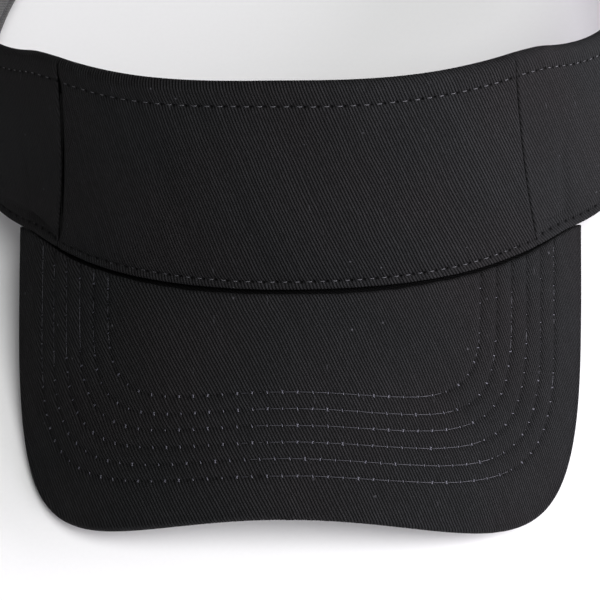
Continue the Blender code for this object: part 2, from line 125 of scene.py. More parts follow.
def hill(distance, width):
    """A bump 1 high at distance 0."""
    return np.exp(-(np.asarray(distance, float) / width) ** 2)


def waves(x, y, seed, size, count=7):
    """Smooth irregular waves of about a given size, between about -1 and 1."""
    draw = np.random.default_rng(seed)
    total = np.zeros(np.broadcast(x, y).shape)
    for _ in range(count):
        turn, phase = draw.uniform(0, math.pi), draw.uniform(0, 2 * math.pi)
        rate = 2 * math.pi / (size * draw.uniform(0.7, 1.5))
        total += np.sin((x * math.cos(turn) + y * math.sin(turn)) * rate + phase)
    return total / count * 1.6


# ---------------------------------------------------------------- the band's wall and the brim's surface

def plan(angle, up=0.0):
    """Points of the plan at angles and heights, and the outward directions there."""
    a = np.radians(angle)
    s, c = np.sin(a), np.cos(a)
    front = c > 0
    power = 2 / PLAN_POWER
    round_back = np.stack([s * PLAN_WIDTH, -c * PLAN_WIDTH], -1)
    oval = np.stack([np.sign(s) * PLAN_WIDTH * np.abs(s) ** power,
                     -PLAN_DEPTH * np.clip(c, 0, 1) ** power], -1)
    point = np.where(front[..., None], oval, round_back)
    out = unit(np.where(front[..., None], point / np.array([PLAN_WIDTH ** 2, PLAN_DEPTH ** 2]), point))
    spread = SPRING_SPREAD * np.asarray(up)
    sprung = ease(np.abs(angle), SPRING_ANGLES[0] - spread, SPRING_ANGLES[1] + spread)
    spring = np.where(front, sprung, 1.0) * SPRING_OUT
    return point + out * spring[..., None], out


def crease_height(point):
    """Height of the brim's top surface above points of the plan."""
    arch = np.sqrt(BRIM_RADIUS ** 2 - point[..., 0] ** 2) - BRIM_RADIUS
    return arch + math.tan(BRIM_DROOP) * (point[..., 1] + PLAN_DEPTH)


def rim(angle):
    """Height of the band's lower rim."""
    start, end = RIM_EASE
    level = crease_height(plan(np.minimum(np.abs(angle), start))[0])
    last = crease_height(plan(np.array([start - 1.0, start]))[0])
    u = np.clip(np.abs(angle), start, end) - start
    return level + (last[1] - last[0]) * (u - u * u / (2 * (end - start)))


def height(angle):
    """Height of the band along its own wall."""
    return FRONT_HEIGHT + (REAR_HEIGHT - FRONT_HEIGHT) * ease(np.abs(angle), SEAM_ANGLE, REAR_ANGLE)


def wall(angle, depth, up):
    """Points of the band's wall: depth inwards from its outer face, and up along it from the rim."""
    angle, depth, up = np.broadcast_arrays(*(np.asarray(v, float) for v in (angle, depth, up)))
    lean = np.radians(FRONT_LEAN + (REAR_LEAN - FRONT_LEAN)
                      * ease(np.abs(angle), SEAM_ANGLE, LEAN_EASED_AT))
    point, out = plan(angle, up)
    flat = point - out * (up * np.sin(lean) + depth)[..., None]
    return np.concatenate([flat, (rim(angle) + up * np.cos(lean))[..., None]], -1)


ARC_ANGLES = np.linspace(-180, 180, 1441)
ARC_LENGTHS = lengths_along(plan(ARC_ANGLES)[0])
ARC_LENGTHS -= ARC_LENGTHS[len(ARC_LENGTHS) // 2]


def along(angle):
    """Length round the band from the middle of the front."""
    return np.interp(angle, ARC_ANGLES, ARC_LENGTHS)


def brim(s, t, depth=0.0):
    """Points of the brim: s across it, t forwards from the crease's middle, depth below its top."""
    s, t, depth = np.broadcast_arrays(*(np.asarray(v, float) for v in (s, t, depth)))
    turn = s / BRIM_RADIUS
    cd, sd = math.cos(BRIM_DROOP), math.sin(BRIM_DROOP)
    top = np.stack([BRIM_RADIUS * np.sin(turn), -PLAN_DEPTH - t * cd,
                    BRIM_RADIUS * (np.cos(turn) - 1) - t * sd], -1)
    up = unit(np.stack([np.sin(turn) * cd, -np.cos(turn) * sd, np.cos(turn) * cd], -1))
    return top - up * depth[..., None]


def rounded(angle, half_width, start, reach, power):
    """A line round the brim in (s, t): from one side at -90 degrees over the front to the other at 90. It
    starts and ends at the sides; the power says how square its corners are."""
    s, c = np.sin(np.radians(angle)), np.cos(np.radians(angle))
    return np.stack([np.sign(s) * half_width * np.abs(s) ** (2 / power),
                     start + (reach - start) * np.abs(c) ** (2 / power)], -1)


def brim_outline(angle, inset=0.0):
    """The brim's edge in (s, t), from one side at -90 degrees over the front to the other at 90."""

    def edge(a):
        return rounded(a, BRIM_HALF_WIDTH, BRIM_SIDE_START, BRIM_LENGTH, BRIM_POWER)

    a = np.asarray(angle, float)
    step = edge(np.minimum(a + 0.01, 89.999)) - edge(np.maximum(a - 0.01, -89.999))
    return edge(a) + unit(np.stack([step[..., 1], -step[..., 0]], -1)) * inset


_back = plan(np.linspace(-80, 80, 1601))
_back_line = _back[0] + _back[1] * GAP


def brim_back(s):
    """Where the brim stops, just clear of the band's outer face."""
    x = BRIM_RADIUS * np.sin(np.asarray(s) / BRIM_RADIUS)
    y = np.interp(x, _back_line[:, 0], _back_line[:, 1])
    return -(y + PLAN_DEPTH) / math.cos(BRIM_DROOP)


def spaced(points, count):
    """Points at equal lengths along a fine polyline, both ends included."""
    lengths = lengths_along(points)
    wanted = np.linspace(0, lengths[-1], count)
    return np.stack([np.interp(wanted, lengths, points[:, k]) for k in range(points.shape[1])], -1)


def brim_patch(columns, rows, inset=0.0):
    """A grid of (s, t) over the brim, rows from the back edge to the front."""
    fine = np.linspace(60, 89.9, 3000)
    edge = brim_outline(fine, inset)
    corner = fine[np.argmax(edge[:, 1] < brim_back(edge[:, 0]))]
    turn = 42.0  # where the patch's sides end and its front starts

    def stretch(start, end, count, parts):
        return spaced(brim_outline(np.linspace(start, end, count), inset), parts + 1)

    left, right = (stretch(side * corner, side * turn, 400, rows) for side in (-1, 1))
    front = stretch(-turn, turn, 800, columns)
    s = np.linspace(left[0, 0], right[0, 0], 800)
    back = spaced(np.stack([s, brim_back(s)], -1), columns + 1)
    u = np.linspace(0, 1, columns + 1)[None, :, None]
    v = np.linspace(0, 1, rows + 1)[:, None, None]
    sides = left[:, None] * (1 - u) + right[:, None] * u
    ends = back[None] * (1 - v) + front[None] * v
    corners = ((back[0] * (1 - u) + back[-1] * u) * (1 - v)
               + (front[0] * (1 - u) + front[-1] * u) * v)
    return sides + ends - corners


# ---------------------------------------------------------------- meshes

def to_model(points):
    """Cap frame in millimetres to the model's frame in metres."""
    return CAP_ORIGIN + (np.asarray(points, float) / 1000) @ CAP_AXES


def show(name, data):
    """A new object in the scene that holds some data."""
    obj = bpy.data.objects.new(name, data)
    bpy.context.scene.collection.objects.link(obj)
    return obj


def add_mesh(name, points, faces, uv, mat, sewn=None):
    """A smooth mesh object. Its UV map is in metres of cloth; sewn, if given, is a second map that holds the
    place along the nearest row of stitches, counted in stitches, and the distance from it in millimetres.
    Both maps start again if they run out of values, as on the second face of a shell."""
    mesh = bpy.data.meshes.new(name)
    mesh.from_pydata(to_model(points.reshape(-1, 3)).tolist(), [], faces)
    bm = bmesh.new()
    bm.from_mesh(mesh)
    bmesh.ops.recalc_face_normals(bm, faces=bm.faces)
    bm.to_mesh(mesh)
    bm.free()
    corners = np.zeros(len(mesh.loops), np.int32)
    mesh.loops.foreach_get("vertex_index", corners)
    for map_name, values in (("UVMap", uv / 1000), ("Rows", sewn)):
        if values is not None:
            values = values.reshape(-1, 2).astype(np.float32)
            layer = mesh.uv_layers.new(name=map_name)
            layer.data.foreach_set("uv", values[corners % len(values)].ravel())
    layer = mesh.uv_layers["UVMap"]
    layer.active = layer.active_render = True
    mesh.materials.append(mat)
    mesh.shade_smooth()
    return show(name, mesh)


def grid_faces(rows, columns, base=0, closed=False):
    """Quads of a grid of points; closed joins the last column to the first."""
    r = np.arange(rows - 1)[:, None]
    c = np.arange(columns if closed else columns - 1)[None, :]
    d = (c + 1) % columns
    quads = np.stack([r * columns + c, r * columns + d, (r + 1) * columns + d, (r + 1) * columns + c], -1)
    return (quads.reshape(-1, 4) + base).tolist()


def shell(name, outer, inner, uv, mat, sewn=None):
    """A closed skin between two grids of points of the same shape."""
    rows, columns = outer.shape[:2]
    count = rows * columns
    faces = grid_faces(rows, columns) + grid_faces(rows, columns, count)
    index = np.arange(count).reshape(rows, columns)
    loop = np.concatenate([index[0], index[1:, -1], index[-1, -2::-1], index[-2:0:-1, 0]])
    nxt = np.roll(loop, -1)
    faces += np.stack([loop, nxt, nxt + count, loop + count], -1).tolist()
    return add_mesh(name, np.concatenate([outer, inner]), faces, uv, mat, sewn)


def tube_of_sections(name, sections, uv, mat, sewn=None):
    """A swept solid: rows are closed cross-sections, and both ends are closed."""
    rows, columns = sections.shape[:2]
    faces = grid_faces(rows, columns, 0, closed=True)
    faces += [list(range(columns)), list(range((rows - 1) * columns, rows * columns))]
    return add_mesh(name, sections, faces, uv, mat, sewn)


def stitches(name, rows, mat, radius=THREAD):
    """Sewing thread. Each row is (starts, ends, normals, style): one stitch from each start to its end,
    where style gives the path as shares of the stitch's length, sideways and upward offsets and the size."""
    all_points, all_uv, all_faces, base = [], [], [], 0
    turn = np.linspace(0, 2 * math.pi, THREAD_SIDES, endpoint=False)
    cos, sin = np.cos(turn)[:, None], np.sin(turn)[:, None]
    for starts, ends, normals, style in rows:
        n, m = len(starts), len(style[0])
        share, side, lift, size = (v[None, :, None] for v in style)
        run = (ends - starts)[:, None]
        tangent, normals = unit(run), normals[:, None]
        normal = unit(normals - (normals * tangent).sum(-1, keepdims=True) * tangent)
        centre = starts[:, None] + run * share + np.cross(normal, tangent) * side + normal * lift
        way = unit(np.gradient(centre, axis=1))
        flank = unit(np.cross(way, normal + 0 * way))
        up = np.cross(flank, way)
        spoke = cos * flank[:, :, None] + sin * up[:, :, None]
        ring = centre[:, :, None] + radius * size[..., None] * spoke
        uv = np.broadcast_arrays(share * np.linalg.norm(run, axis=-1, keepdims=True), turn * radius)
        all_points.append(ring.reshape(-1, 3))
        all_uv.append(np.stack(uv, -1).reshape(-1, 2))
        quads = np.array(grid_faces(m, THREAD_SIDES, 0, closed=True))
        step = m * THREAD_SIDES
        quads = quads[None] + (base + step * np.arange(n))[:, None, None]
        all_faces += quads.reshape(-1, 4).tolist()
        for first in range(base, base + n * step, step):
            for cap in (first, first + step - THREAD_SIDES):
                all_faces.append(list(range(cap, cap + THREAD_SIDES)))
        base += n * step
    return add_mesh(name, np.concatenate(all_points), all_faces, np.concatenate(all_uv), mat)


def flat_style(lift=0.10, dip=0.25, first=0.05, last=0.95):
    """A plain stitch that comes out of one hole, lies on the cloth and goes into the next. first and last
    are the shares of the stitch at which it does so."""
    share = first + (last - first) * np.array([0.0, 0.05, 0.15, 0.35, 0.5, 0.65, 0.85, 0.95, 1.0])
    arch = np.array([-dip, -0.04, 0.75, 1.0, 1.0, 1.0, 0.75, -0.04, -dip])
    rise = np.where(arch > 0, arch * lift, arch)
    size = np.array([0.5, 0.9, 1, 1, 1, 1, 1, 0.9, 0.5])
    return share, np.zeros(9), rise, size


def taut_style():
    """A stitch on the brim: pulled tight, so that it lies half sunk in the cloth."""
    lift, dip = 0.03, 0.25
    share = np.array([0.03, 0.07, 0.2, 0.4, 0.6, 0.8, 0.93, 0.97])
    rise = np.array([-dip, -0.04, lift * 0.4, lift, lift, lift * 0.4, -0.04, -dip])
    return share, np.zeros(8), rise, np.array([0.5, 0.8, 0.9, 1.0, 1.0, 0.9, 0.8, 0.5])


def knot_style(reach, lean, lift):
    """Where two stitches meet, a short end of both stands across the row, a little askew."""
    turn = np.linspace(-1, 1, 7)
    size = np.array([0.6, 0.95, 1.15, 1.3, 1.15, 0.95, 0.6])
    return 0.5 - turn * lean, turn * reach, lift * (1 - turn ** 4) - 0.05 - 0.16 * np.abs(turn) ** 6, size


def row_marks(points, spacing):
    """Places along a polyline counted in stitches, so that its needle holes fall on whole numbers."""
    lengths = lengths_along(points)
    return lengths * max(2, round(lengths[-1] / spacing)) / lengths[-1]


def sew(points, normals, spacing, style, jitter=0.06, seed=1):
    """One row of stitches along a fine polyline."""
    marks = row_marks(points, spacing)
    count = round(marks[-1])
    draw = np.random.default_rng(seed)

    def sample(values):
        return np.stack([np.interp(np.arange(count + 1), marks, values[:, k]) for k in range(3)], -1)

    at, up = sample(points), unit(sample(normals))
    aside = unit(np.cross(up, np.gradient(at, axis=0))) * draw.uniform(-jitter, jitter, (count + 1, 1))
    holes = at + aside
    return (holes[:-1], holes[1:], unit(up[:-1] + up[1:]), style)


# ---------------------------------------------------------------- materials

class Value:
    """An output in a material's node tree; arithmetic on it adds Math nodes."""

    def __init__(self, socket):
        self.socket = socket

    def calc(self, operation, other=0.0, own_input=0):
        """What a Math node makes of this value and another one."""
        node = self.socket.id_data.nodes.new("ShaderNodeMath")
        node.operation = operation
        put(node.inputs[own_input], self)
        put(node.inputs[1 - own_input], other)
        return Value(node.outputs[0])

    __add__ = partialmethod(calc, "ADD")
    __sub__ = partialmethod(calc, "SUBTRACT")
    __rsub__ = partialmethod(calc, "SUBTRACT", own_input=1)
    __mul__ = partialmethod(calc, "MULTIPLY")
    __truediv__ = partialmethod(calc, "DIVIDE")
    __pow__ = partialmethod(calc, "POWER")
    __abs__ = partialmethod(calc, "ABSOLUTE")

    def sine(self):
        """The height of waves that repeat when the value has gone up by 1."""
        return abs((self * math.pi).calc("SINE"))

    def clamped(self):
        """The same value, kept between 0 and 1."""
        self.socket.node.use_clamp = True
        return self


def put(socket, value):
    """Link a Value to a socket, or set the socket to a plain value."""
    if isinstance(value, Value):
        socket.id_data.links.new(value.socket, socket)
    else:
        socket.default_value = value


class Graph:
    """A material's node tree, with short ways to add nodes."""

    def __init__(self, name):
        self.mat = bpy.data.materials.new(name)
        self.mat.use_nodes = True
        self.tree = self.mat.node_tree
        self.shader = self.tree.nodes["Principled BSDF"]

    def node(self, kind, inputs=(), out=0, **settings):
        node = self.tree.nodes.new("ShaderNode" + kind)
        for key, value in settings.items():
            setattr(node, key, value)
        for key, value in dict(inputs).items():
            put(node.inputs[key], value)
        return Value(node.outputs[out])

    def mix(self, factor, a, b):
        """A colour between two colours."""
        return self.node("Mix", {0: factor, 6: a, 7: b}, 2, data_type="RGBA")

    def noise(self, vector, scale, detail=2.0, rough=0.5):
        inputs = {"Vector": vector, "Scale": scale, "Detail": detail, "Roughness": rough}
        return self.node("TexNoise", inputs)

    def cells(self, vector, scale):
        """Distance from the nearest of scattered points."""
        return self.node("TexVoronoi", {"Vector": vector, "Scale": scale}, feature="F1")

    def cloth_mm(self):
        """The UV map in millimetres of cloth."""
        return self.scale(self.node("UVMap", uv_map="UVMap"), 1000.0)

    def object_at(self):
        """The object's own coordinates."""
        return self.node("TexCoord", out=3)

    def scale(self, vector, factor):
        return self.node("VectorMath", {0: vector, 3: factor}, operation="SCALE")

    def times(self, vector, other):
        return self.node("VectorMath", {0: vector, 1: other}, operation="MULTIPLY")

    def split(self, vector):
        x = self.node("SeparateXYZ", {0: vector})
        return x, Value(x.socket.node.outputs[1])

    def finish(self, colour, roughness, height=None, depth_mm=0.1, **fixed):
        put(self.shader.inputs["Base Color"], colour)
        put(self.shader.inputs["Roughness"], roughness)
        if height is not None:
            bump = self.node("Bump", {"Height": height, "Distance": depth_mm / 1000, "Strength": 1.0})
            put(self.shader.inputs["Normal"], bump)
        for key, value in fixed.items():
            put(self.shader.inputs[key.replace("_", " ")], value)
        return self.mat


def grey(value, warm=0.0):
    """An RGBA grey; warm above 0 leans to red, below to blue."""
    return (value * (1 + warm), value, value * (1 - warm), 1.0)


def twill(name, angle, pitch, rib, groove, lint=1.0, sheen=0.006, rows=None, depth_mm=0.38):
    """Cotton twill: steep diagonal ribs of short slanted floats, uneven dye, fine fuzz and a little lint.
    rows, for cloth with a second map, is the spacing of its stitches, how far past its mark a hole lies,
    and how dark the painted shade is in the hole, and more weakly along the row's furrow."""
    float_length, fuzz_height, tint = 0.62, 0.30, 0.03
    g = Graph(name)
    mm = g.cloth_mm()
    sway, shake = g.noise(mm, 0.05, 1.0) - 0.5, g.noise(mm, 0.9, 1.0) - 0.5
    x, y = g.split(mm)
    c, s = math.cos(math.radians(angle)), math.sin(math.radians(angle))
    across = x * (c / pitch) + y * (s / pitch) + sway * 1.5 + shake * 0.26
    lengthwise = y * c - x * s
    index = across.calc("FLOOR")
    ridge = 1.0 - abs(across.calc("FRACT") * 2.0 - 1.0) ** 1.7
    per_rib = g.node("TexWhiteNoise", {"W": index}, noise_dimensions="1D")
    floats = lengthwise / float_length + index * 0.37 + shake * 0.8
    beat = floats.sine() ** 0.45
    along_rib = g.node("CombineXYZ", {0: across * 3.2, 1: lengthwise * 0.9})
    fibre, fuzz = g.noise(along_rib, 2.2, 3.0, 0.65), g.noise(mm, 1.7, 3.0, 0.7)
    worn = g.noise(mm, 0.45, 2.0, 0.6)
    height = ridge * (beat * 0.34 + 0.66) * (per_rib * 0.3 + 0.7) * (worn + 0.5)
    height = height + (fibre * 0.22 + fuzz * fuzz_height)
    tone = ((height - 0.32) * 1.1).clamped() * (fibre + fuzz * 0.6)
    colour = g.mix(tone.clamped(), groove, rib)
    # Dye takes unevenly, leans a little to blue or to red, and rubbed places have gone greyer
    patch = g.noise(mm, 0.035, 3.0, 0.6) * 0.36 + 0.82
    hue = ((g.noise(mm, 0.028, 1.0) - 0.36) * 3.4).clamped()
    bluer, redder = (1 - tint, 1.0, 1 + tint * 1.4, 1), (1 + tint, 1 - tint * 0.5, 1 + tint * 0.7, 1)
    colour = g.scale(g.times(colour, g.mix(hue, bluer, redder)), patch)
    speck = g.cells(mm, 0.12).calc("LESS_THAN", 0.030 * lint)
    hair = g.cells(g.times(mm, (0.30, 0.04, 1.0)), 1.0).calc("LESS_THAN", 0.034 * lint)
    fluff = speck.calc("MAXIMUM", hair * 0.45)
    colour = g.mix(fluff * 0.4, colour, (0.10, 0.10, 0.11, 1.0))
    if rows:
        hole_size, furrow_width = 0.40, 0.36
        spacing, shift, dark = rows
        mark, off = g.split(g.node("UVMap", uv_map="Rows"))
        gap = (abs((mark + (0.5 - shift)).calc("FRACT") - 0.5) * (spacing / hole_size)) ** 2.0
        furrow = (off * (1 / furrow_width)) ** 2.0
        hole = ((gap + furrow) * -1.0).calc("EXPONENT")
        furrow = (furrow * -1.0).calc("EXPONENT")
        # Painted shade: the colour is darkened in the needle holes and along the rows' furrows; the holes are
        # also sunk in the bump
        painted_shade = (1.0 - furrow * (0.13 + 0.09 * dark)) * (1.0 - hole * dark)
        colour = g.scale(colour, painted_shade)
        height = height - hole * (2.2 * dark)
    return g.finish(colour, fibre * 0.2 + 0.74, height, depth_mm, IOR=1.45, Specular_IOR_Level=0.05,
                    Sheen_Weight=sheen, Sheen_Roughness=0.45, Sheen_Tint=(0.8, 0.8, 0.86, 1.0))


def plain_weave(name, pitch, light, dark, depth_mm=0.07, sheen=0.08, rough=0.85, fuzz=0.0):
    """Plain weave: crossing yarns that pass over and under each other."""
    g = Graph(name)
    mm = g.cloth_mm()
    shake = (g.noise(mm, 0.5, 2.0) - 0.5) * 0.35
    x, y = (v / pitch + shake for v in g.split(mm))
    over = (x.calc("FLOOR") + y.calc("FLOOR")).calc("PINGPONG", 1.0) * 0.55
    fibre = g.noise(mm, 3.0, 3.0, 0.6)
    warp, weft = x.sine() * (over + 0.45), y.sine() * (1.0 - over)
    height = warp.calc("MAXIMUM", weft) + fibre * (0.25 + fuzz)
    tone = height * (g.noise(mm, 0.05, 2.0) * 0.6 + 0.55)
    return g.finish(g.mix(tone.clamped(), dark, light), fibre * 0.15 + (rough - 0.1), height, depth_mm,
                    IOR=1.45, Specular_IOR_Level=0.3, Sheen_Weight=sheen, Sheen_Roughness=0.5)


def ribbed_tape(name, light, dark):
    """Woven tape: a fine herringbone that changes direction in narrow stripes."""
    rib, stripe = 0.55, 1.6
    g = Graph(name)
    mm = g.cloth_mm()
    x, y = g.split(mm)
    ribs = abs(((y + x.calc("PINGPONG", stripe)) * (math.pi / rib)).calc("SINE"))
    fibre = g.noise(mm, 3.5, 3.0, 0.6)
    height = ribs + fibre * 0.3
    return g.finish(g.mix((height * 0.8).clamped(), dark, light), fibre * 0.2 + 0.5, height, 0.06, IOR=1.45,
                    Specular_IOR_Level=0.4, Sheen_Weight=0.08, Sheen_Roughness=0.4)


def satin(name, light, dark):
    """Satin label: long smooth floats, shiny, with faint lengthwise lines."""
    g = Graph(name)
    mm = g.cloth_mm()
    lines = g.noise(g.times(mm, (0.6, 9.0, 1.0)), 1.0, 3.0, 0.6)
    tone = (lines * 0.7 + g.noise(mm, 0.15, 2.0) * 0.3).clamped()
    return g.finish(g.mix(tone, dark, light), lines * 0.2 + 0.3, lines, 0.04, IOR=1.5,
                    Specular_IOR_Level=0.5, Sheen_Weight=0.05)


def thread(name, light, dark):
    """Twisted polyester sewing thread: fine slanted plies, a little shiny."""
    twist = 0.42
    g = Graph(name)
    mm = g.cloth_mm()
    x, y = g.split(mm)
    ply = abs((x * (math.pi / twist) + y * (1 / THREAD)).calc("SINE"))
    fibre = g.noise(mm, 5.0, 2.0)
    height = ply + fibre * 0.3
    return g.finish(g.mix((height * 0.8).clamped(), dark, light), fibre * 0.15 + 0.38, height, 0.04, IOR=1.5,
                    Specular_IOR_Level=0.6, Sheen_Weight=0.1, Sheen_Roughness=0.35)


def solid_noise(name, dark, light, rough, scale, depth_mm, stretch=(1.0, 1.0, 1.0), metallic=0.0):
    """A hard material read from the object's own coordinates: fine noise, stretched if it is brushed."""
    g = Graph(name)
    at = g.times(g.object_at(), tuple(1000 * v for v in stretch))
    fine = g.noise(at, scale, 4.0, 0.65)
    tone = (fine * 0.6 + g.noise(at, scale * 0.12, 3.0, 0.6) * 0.5).clamped()
    return g.finish(g.mix(tone, dark, light), tone * 0.26 + (rough - 0.12), fine, depth_mm,
                    Metallic=metallic, IOR=1.5)


BAND_RIBS, BRIM_RIBS, STRAP_RIBS = (18.0, 0.84), (-27.0, 0.79), (62.0, 0.8)  # lean in degrees, and pitch
# Stitch spacing, how far past its mark a hole lies, and how dark the painted shade in the holes and furrows
# is
BAND_HOLES = (BAND_SPACING, 0.78, 0.97)
PANEL_TWILL = twill("panel_twill", *BAND_RIBS, grey(0.0245), grey(0.0040), 1.3, rows=BAND_HOLES)
# The side cloth has been stretched round the head: its ribs are flatter
SIDE_TWILL = twill("side_twill", *BAND_RIBS, grey(0.0207), grey(0.0062), 1.5, rows=BAND_HOLES, depth_mm=0.26)
BRIM_TWILL = twill("brim_cover_twill", *BRIM_RIBS, grey(0.0245), grey(0.0052), 1.5,
                   rows=(BRIM_SPACING, 0.0, 0.3))
UNDER_TWILL = twill("under_cover_twill", *BRIM_RIBS, grey(0.0240), grey(0.0048), 0.6,
                    rows=(BRIM_SPACING, 0.0, 0.7))
STRAP_TWILL = twill("strap_cover_twill", *STRAP_RIBS, grey(0.0240), grey(0.0048), lint=0.7)
# The folded edges deep in the seam under the band's rim: twill painted near-black and without sheen, as
# painted shade in the crease
PAINTED_SHADE_FOLD_CLOTH = twill("folded_edge_painted_shade_twill", *STRAP_RIBS, grey(0.0034), grey(0.0012), lint=0.0, sheen=0.0)
LINING_CLOTH = plain_weave("lining_weave", 0.45, grey(0.024), grey(0.005))
SWEAT_CLOTH = plain_weave("sweatband_weave", 0.6, grey(0.026, 0.02), grey(0.006), 0.12, 0.2, 0.92, 0.3)
TAPE_CLOTH = ribbed_tape("seam_tape_weave", grey(0.036), grey(0.007))
LABEL_CLOTH = satin("blank_label_satin", grey(0.62, 0.01), grey(0.48, 0.015))
BUCKRAM = plain_weave("stiffener_buckram", 0.9, grey(0.045, 0.02), grey(0.012, 0.02), 0.25, 0.0, 0.9)
BRIM_THREAD = thread("brim_thread", (0.040, 0.040, 0.052, 1), (0.008, 0.008, 0.011, 1))
KNOT_THREAD = thread("brim_knot_thread", (0.076, 0.076, 0.100, 1), (0.022, 0.022, 0.031, 1))
BAND_THREAD = thread("band_thread", (0.052, 0.052, 0.060, 1), (0.010, 0.010, 0.013, 1))
METAL = solid_noise("brushed_buckle_metal", grey(0.20), grey(0.46, 0.01), 0.34, 0.6, 0.012,
                    (0.35, 1.0, 5.0), 1.0)
PIN_METAL = solid_noise("pin_metal", grey(0.30), grey(0.55), 0.28, 0.8, 0.008, metallic=1.0)
BOARD = solid_noise("board_plastic", grey(0.02), grey(0.045), 0.5, 0.5, 0.02)


# ---------------------------------------------------------------- the outer panels

def seam_bow(side, share):
    """How far a front seam strays sideways from its straight line, in degrees, at a share of the height."""
    if side < 0:
        return -1.0 + 5.4 * share - 4.4 * share ** 2
    return 1.1 - 3.4 * share + 2.9 * share ** 2


def row_line(angles, up, depth):
    """A line on the band and the outward normals along it."""
    points = wall(angles, depth, up)
    return points, unit(wall(angles, depth - 1.0, up) - points)


def wall_row(angles, up, depth, facing, spacing, style, seed):
    """A row of stitches on the band, seen from outside (1) or from inside (-1)."""
    points, normals = row_line(angles, up, depth)
    return sew(points, normals * facing, spacing, style, seed=seed)


def band_relief(length, up, top, seam_distance, seed):
    """How far the outer face stands out from the wall: hems, rows of stitches, puckers and slack."""
    row, low = up - (top - TOP_ROW), up - BOTTOM_ROW
    out = -0.20 * hill(row, 0.55) - 0.12 * hill(row, 1.6)
    out += 0.16 * hill(up - (top - 2.6), 2.2)
    out -= 0.26 * hill(low, 0.6) + 0.18 * hill(low, 1.6)
    out += 0.26 * hill(up - 1.1, 0.9)
    out += 0.05 * waves(length, up * 0.15, seed, 5.0) * (hill(row, 4.0) + hill(low, 3.5))
    out += 0.22 * waves(length, up, seed + 1, 46.0) * ease(seam_distance, 0, 14)
    out += 0.09 * waves(seam_distance * 0.6, up, seed + 2, 9.0) * hill(seam_distance, 9.0)
    # Beside the brim's corners the side cloth is drawn in, in one crease above its rim, longer on the left
    past = np.abs(length) - along(SEAM_ANGLE)
    side, left = ease(past, 0.0, 3.0), length < 0
    middle, width, tall, deep = (np.where(left, *pair) for pair in
                                 ((12.0, 9.0), (10.0, 6.0), (1.9, 1.6), (1.6, 1.25)))
    drawn = hill(past - middle, width) * hill(up - 4.6 - past * 0.08, tall) * ease(up, 1.4, 3.2)
    out -= 0.50 * side * hill(up - 3.0, 1.1) * hill((past - 8.0) / 22.0, 1.0)
    fold = hill(past - 14.0 - 1.2 * waves(up, 0 * up, seed + 3, 40.0), 1.8) * ease(up, 3.0, 9.0)
    out -= 0.45 * side * fold * ease(-up, -48.0, -16.0)
    # The seam's allowance shows through beside it as two faint lines
    out -= 0.06 * hill(seam_distance - 1.7, 0.4) + 0.04 * hill(seam_distance - 3.0, 0.4)
    return out - deep * drawn * side


def band_row(angles, kind, seed):
    """One of the band's rows of stitches: its points and outward normals at some angles."""
    top, length = height(angles), along(angles)
    if kind == "hem":
        return row_line(angles, top - TOP_ROW, HEM_INNER - 0.12)
    up = top - TOP_ROW if kind == "top" else np.full_like(angles, BOTTOM_ROW)
    seam_distance = np.abs(np.abs(length) - along(SEAM_ANGLE))
    # On the sides and towards the left the thread is pulled right into the cloth
    sunk = np.maximum(ease(-angles, 8, 34), ease(np.abs(angles), 27, 40) * ease(-np.abs(angles), -80, -60))
    sunk = sunk * (0.27 if kind == "rim" else 0.12)
    return row_line(angles, up, -band_relief(length, up, top, seam_distance, seed) + sunk)


def marks_at(angle, sewn, kind, seed):
    """The place along a row, counted in stitches, at any angles; the row runs between the two sewn angles."""
    angles = np.linspace(*sewn, 400)
    marks = row_marks(band_row(angles, kind, seed)[0], BAND_SPACING)
    beyond = np.minimum(angle - sewn[0], 0) + np.maximum(angle - sewn[1], 0)
    return np.interp(angle, angles, marks) + beyond * marks[-1] / (sewn[1] - sewn[0])


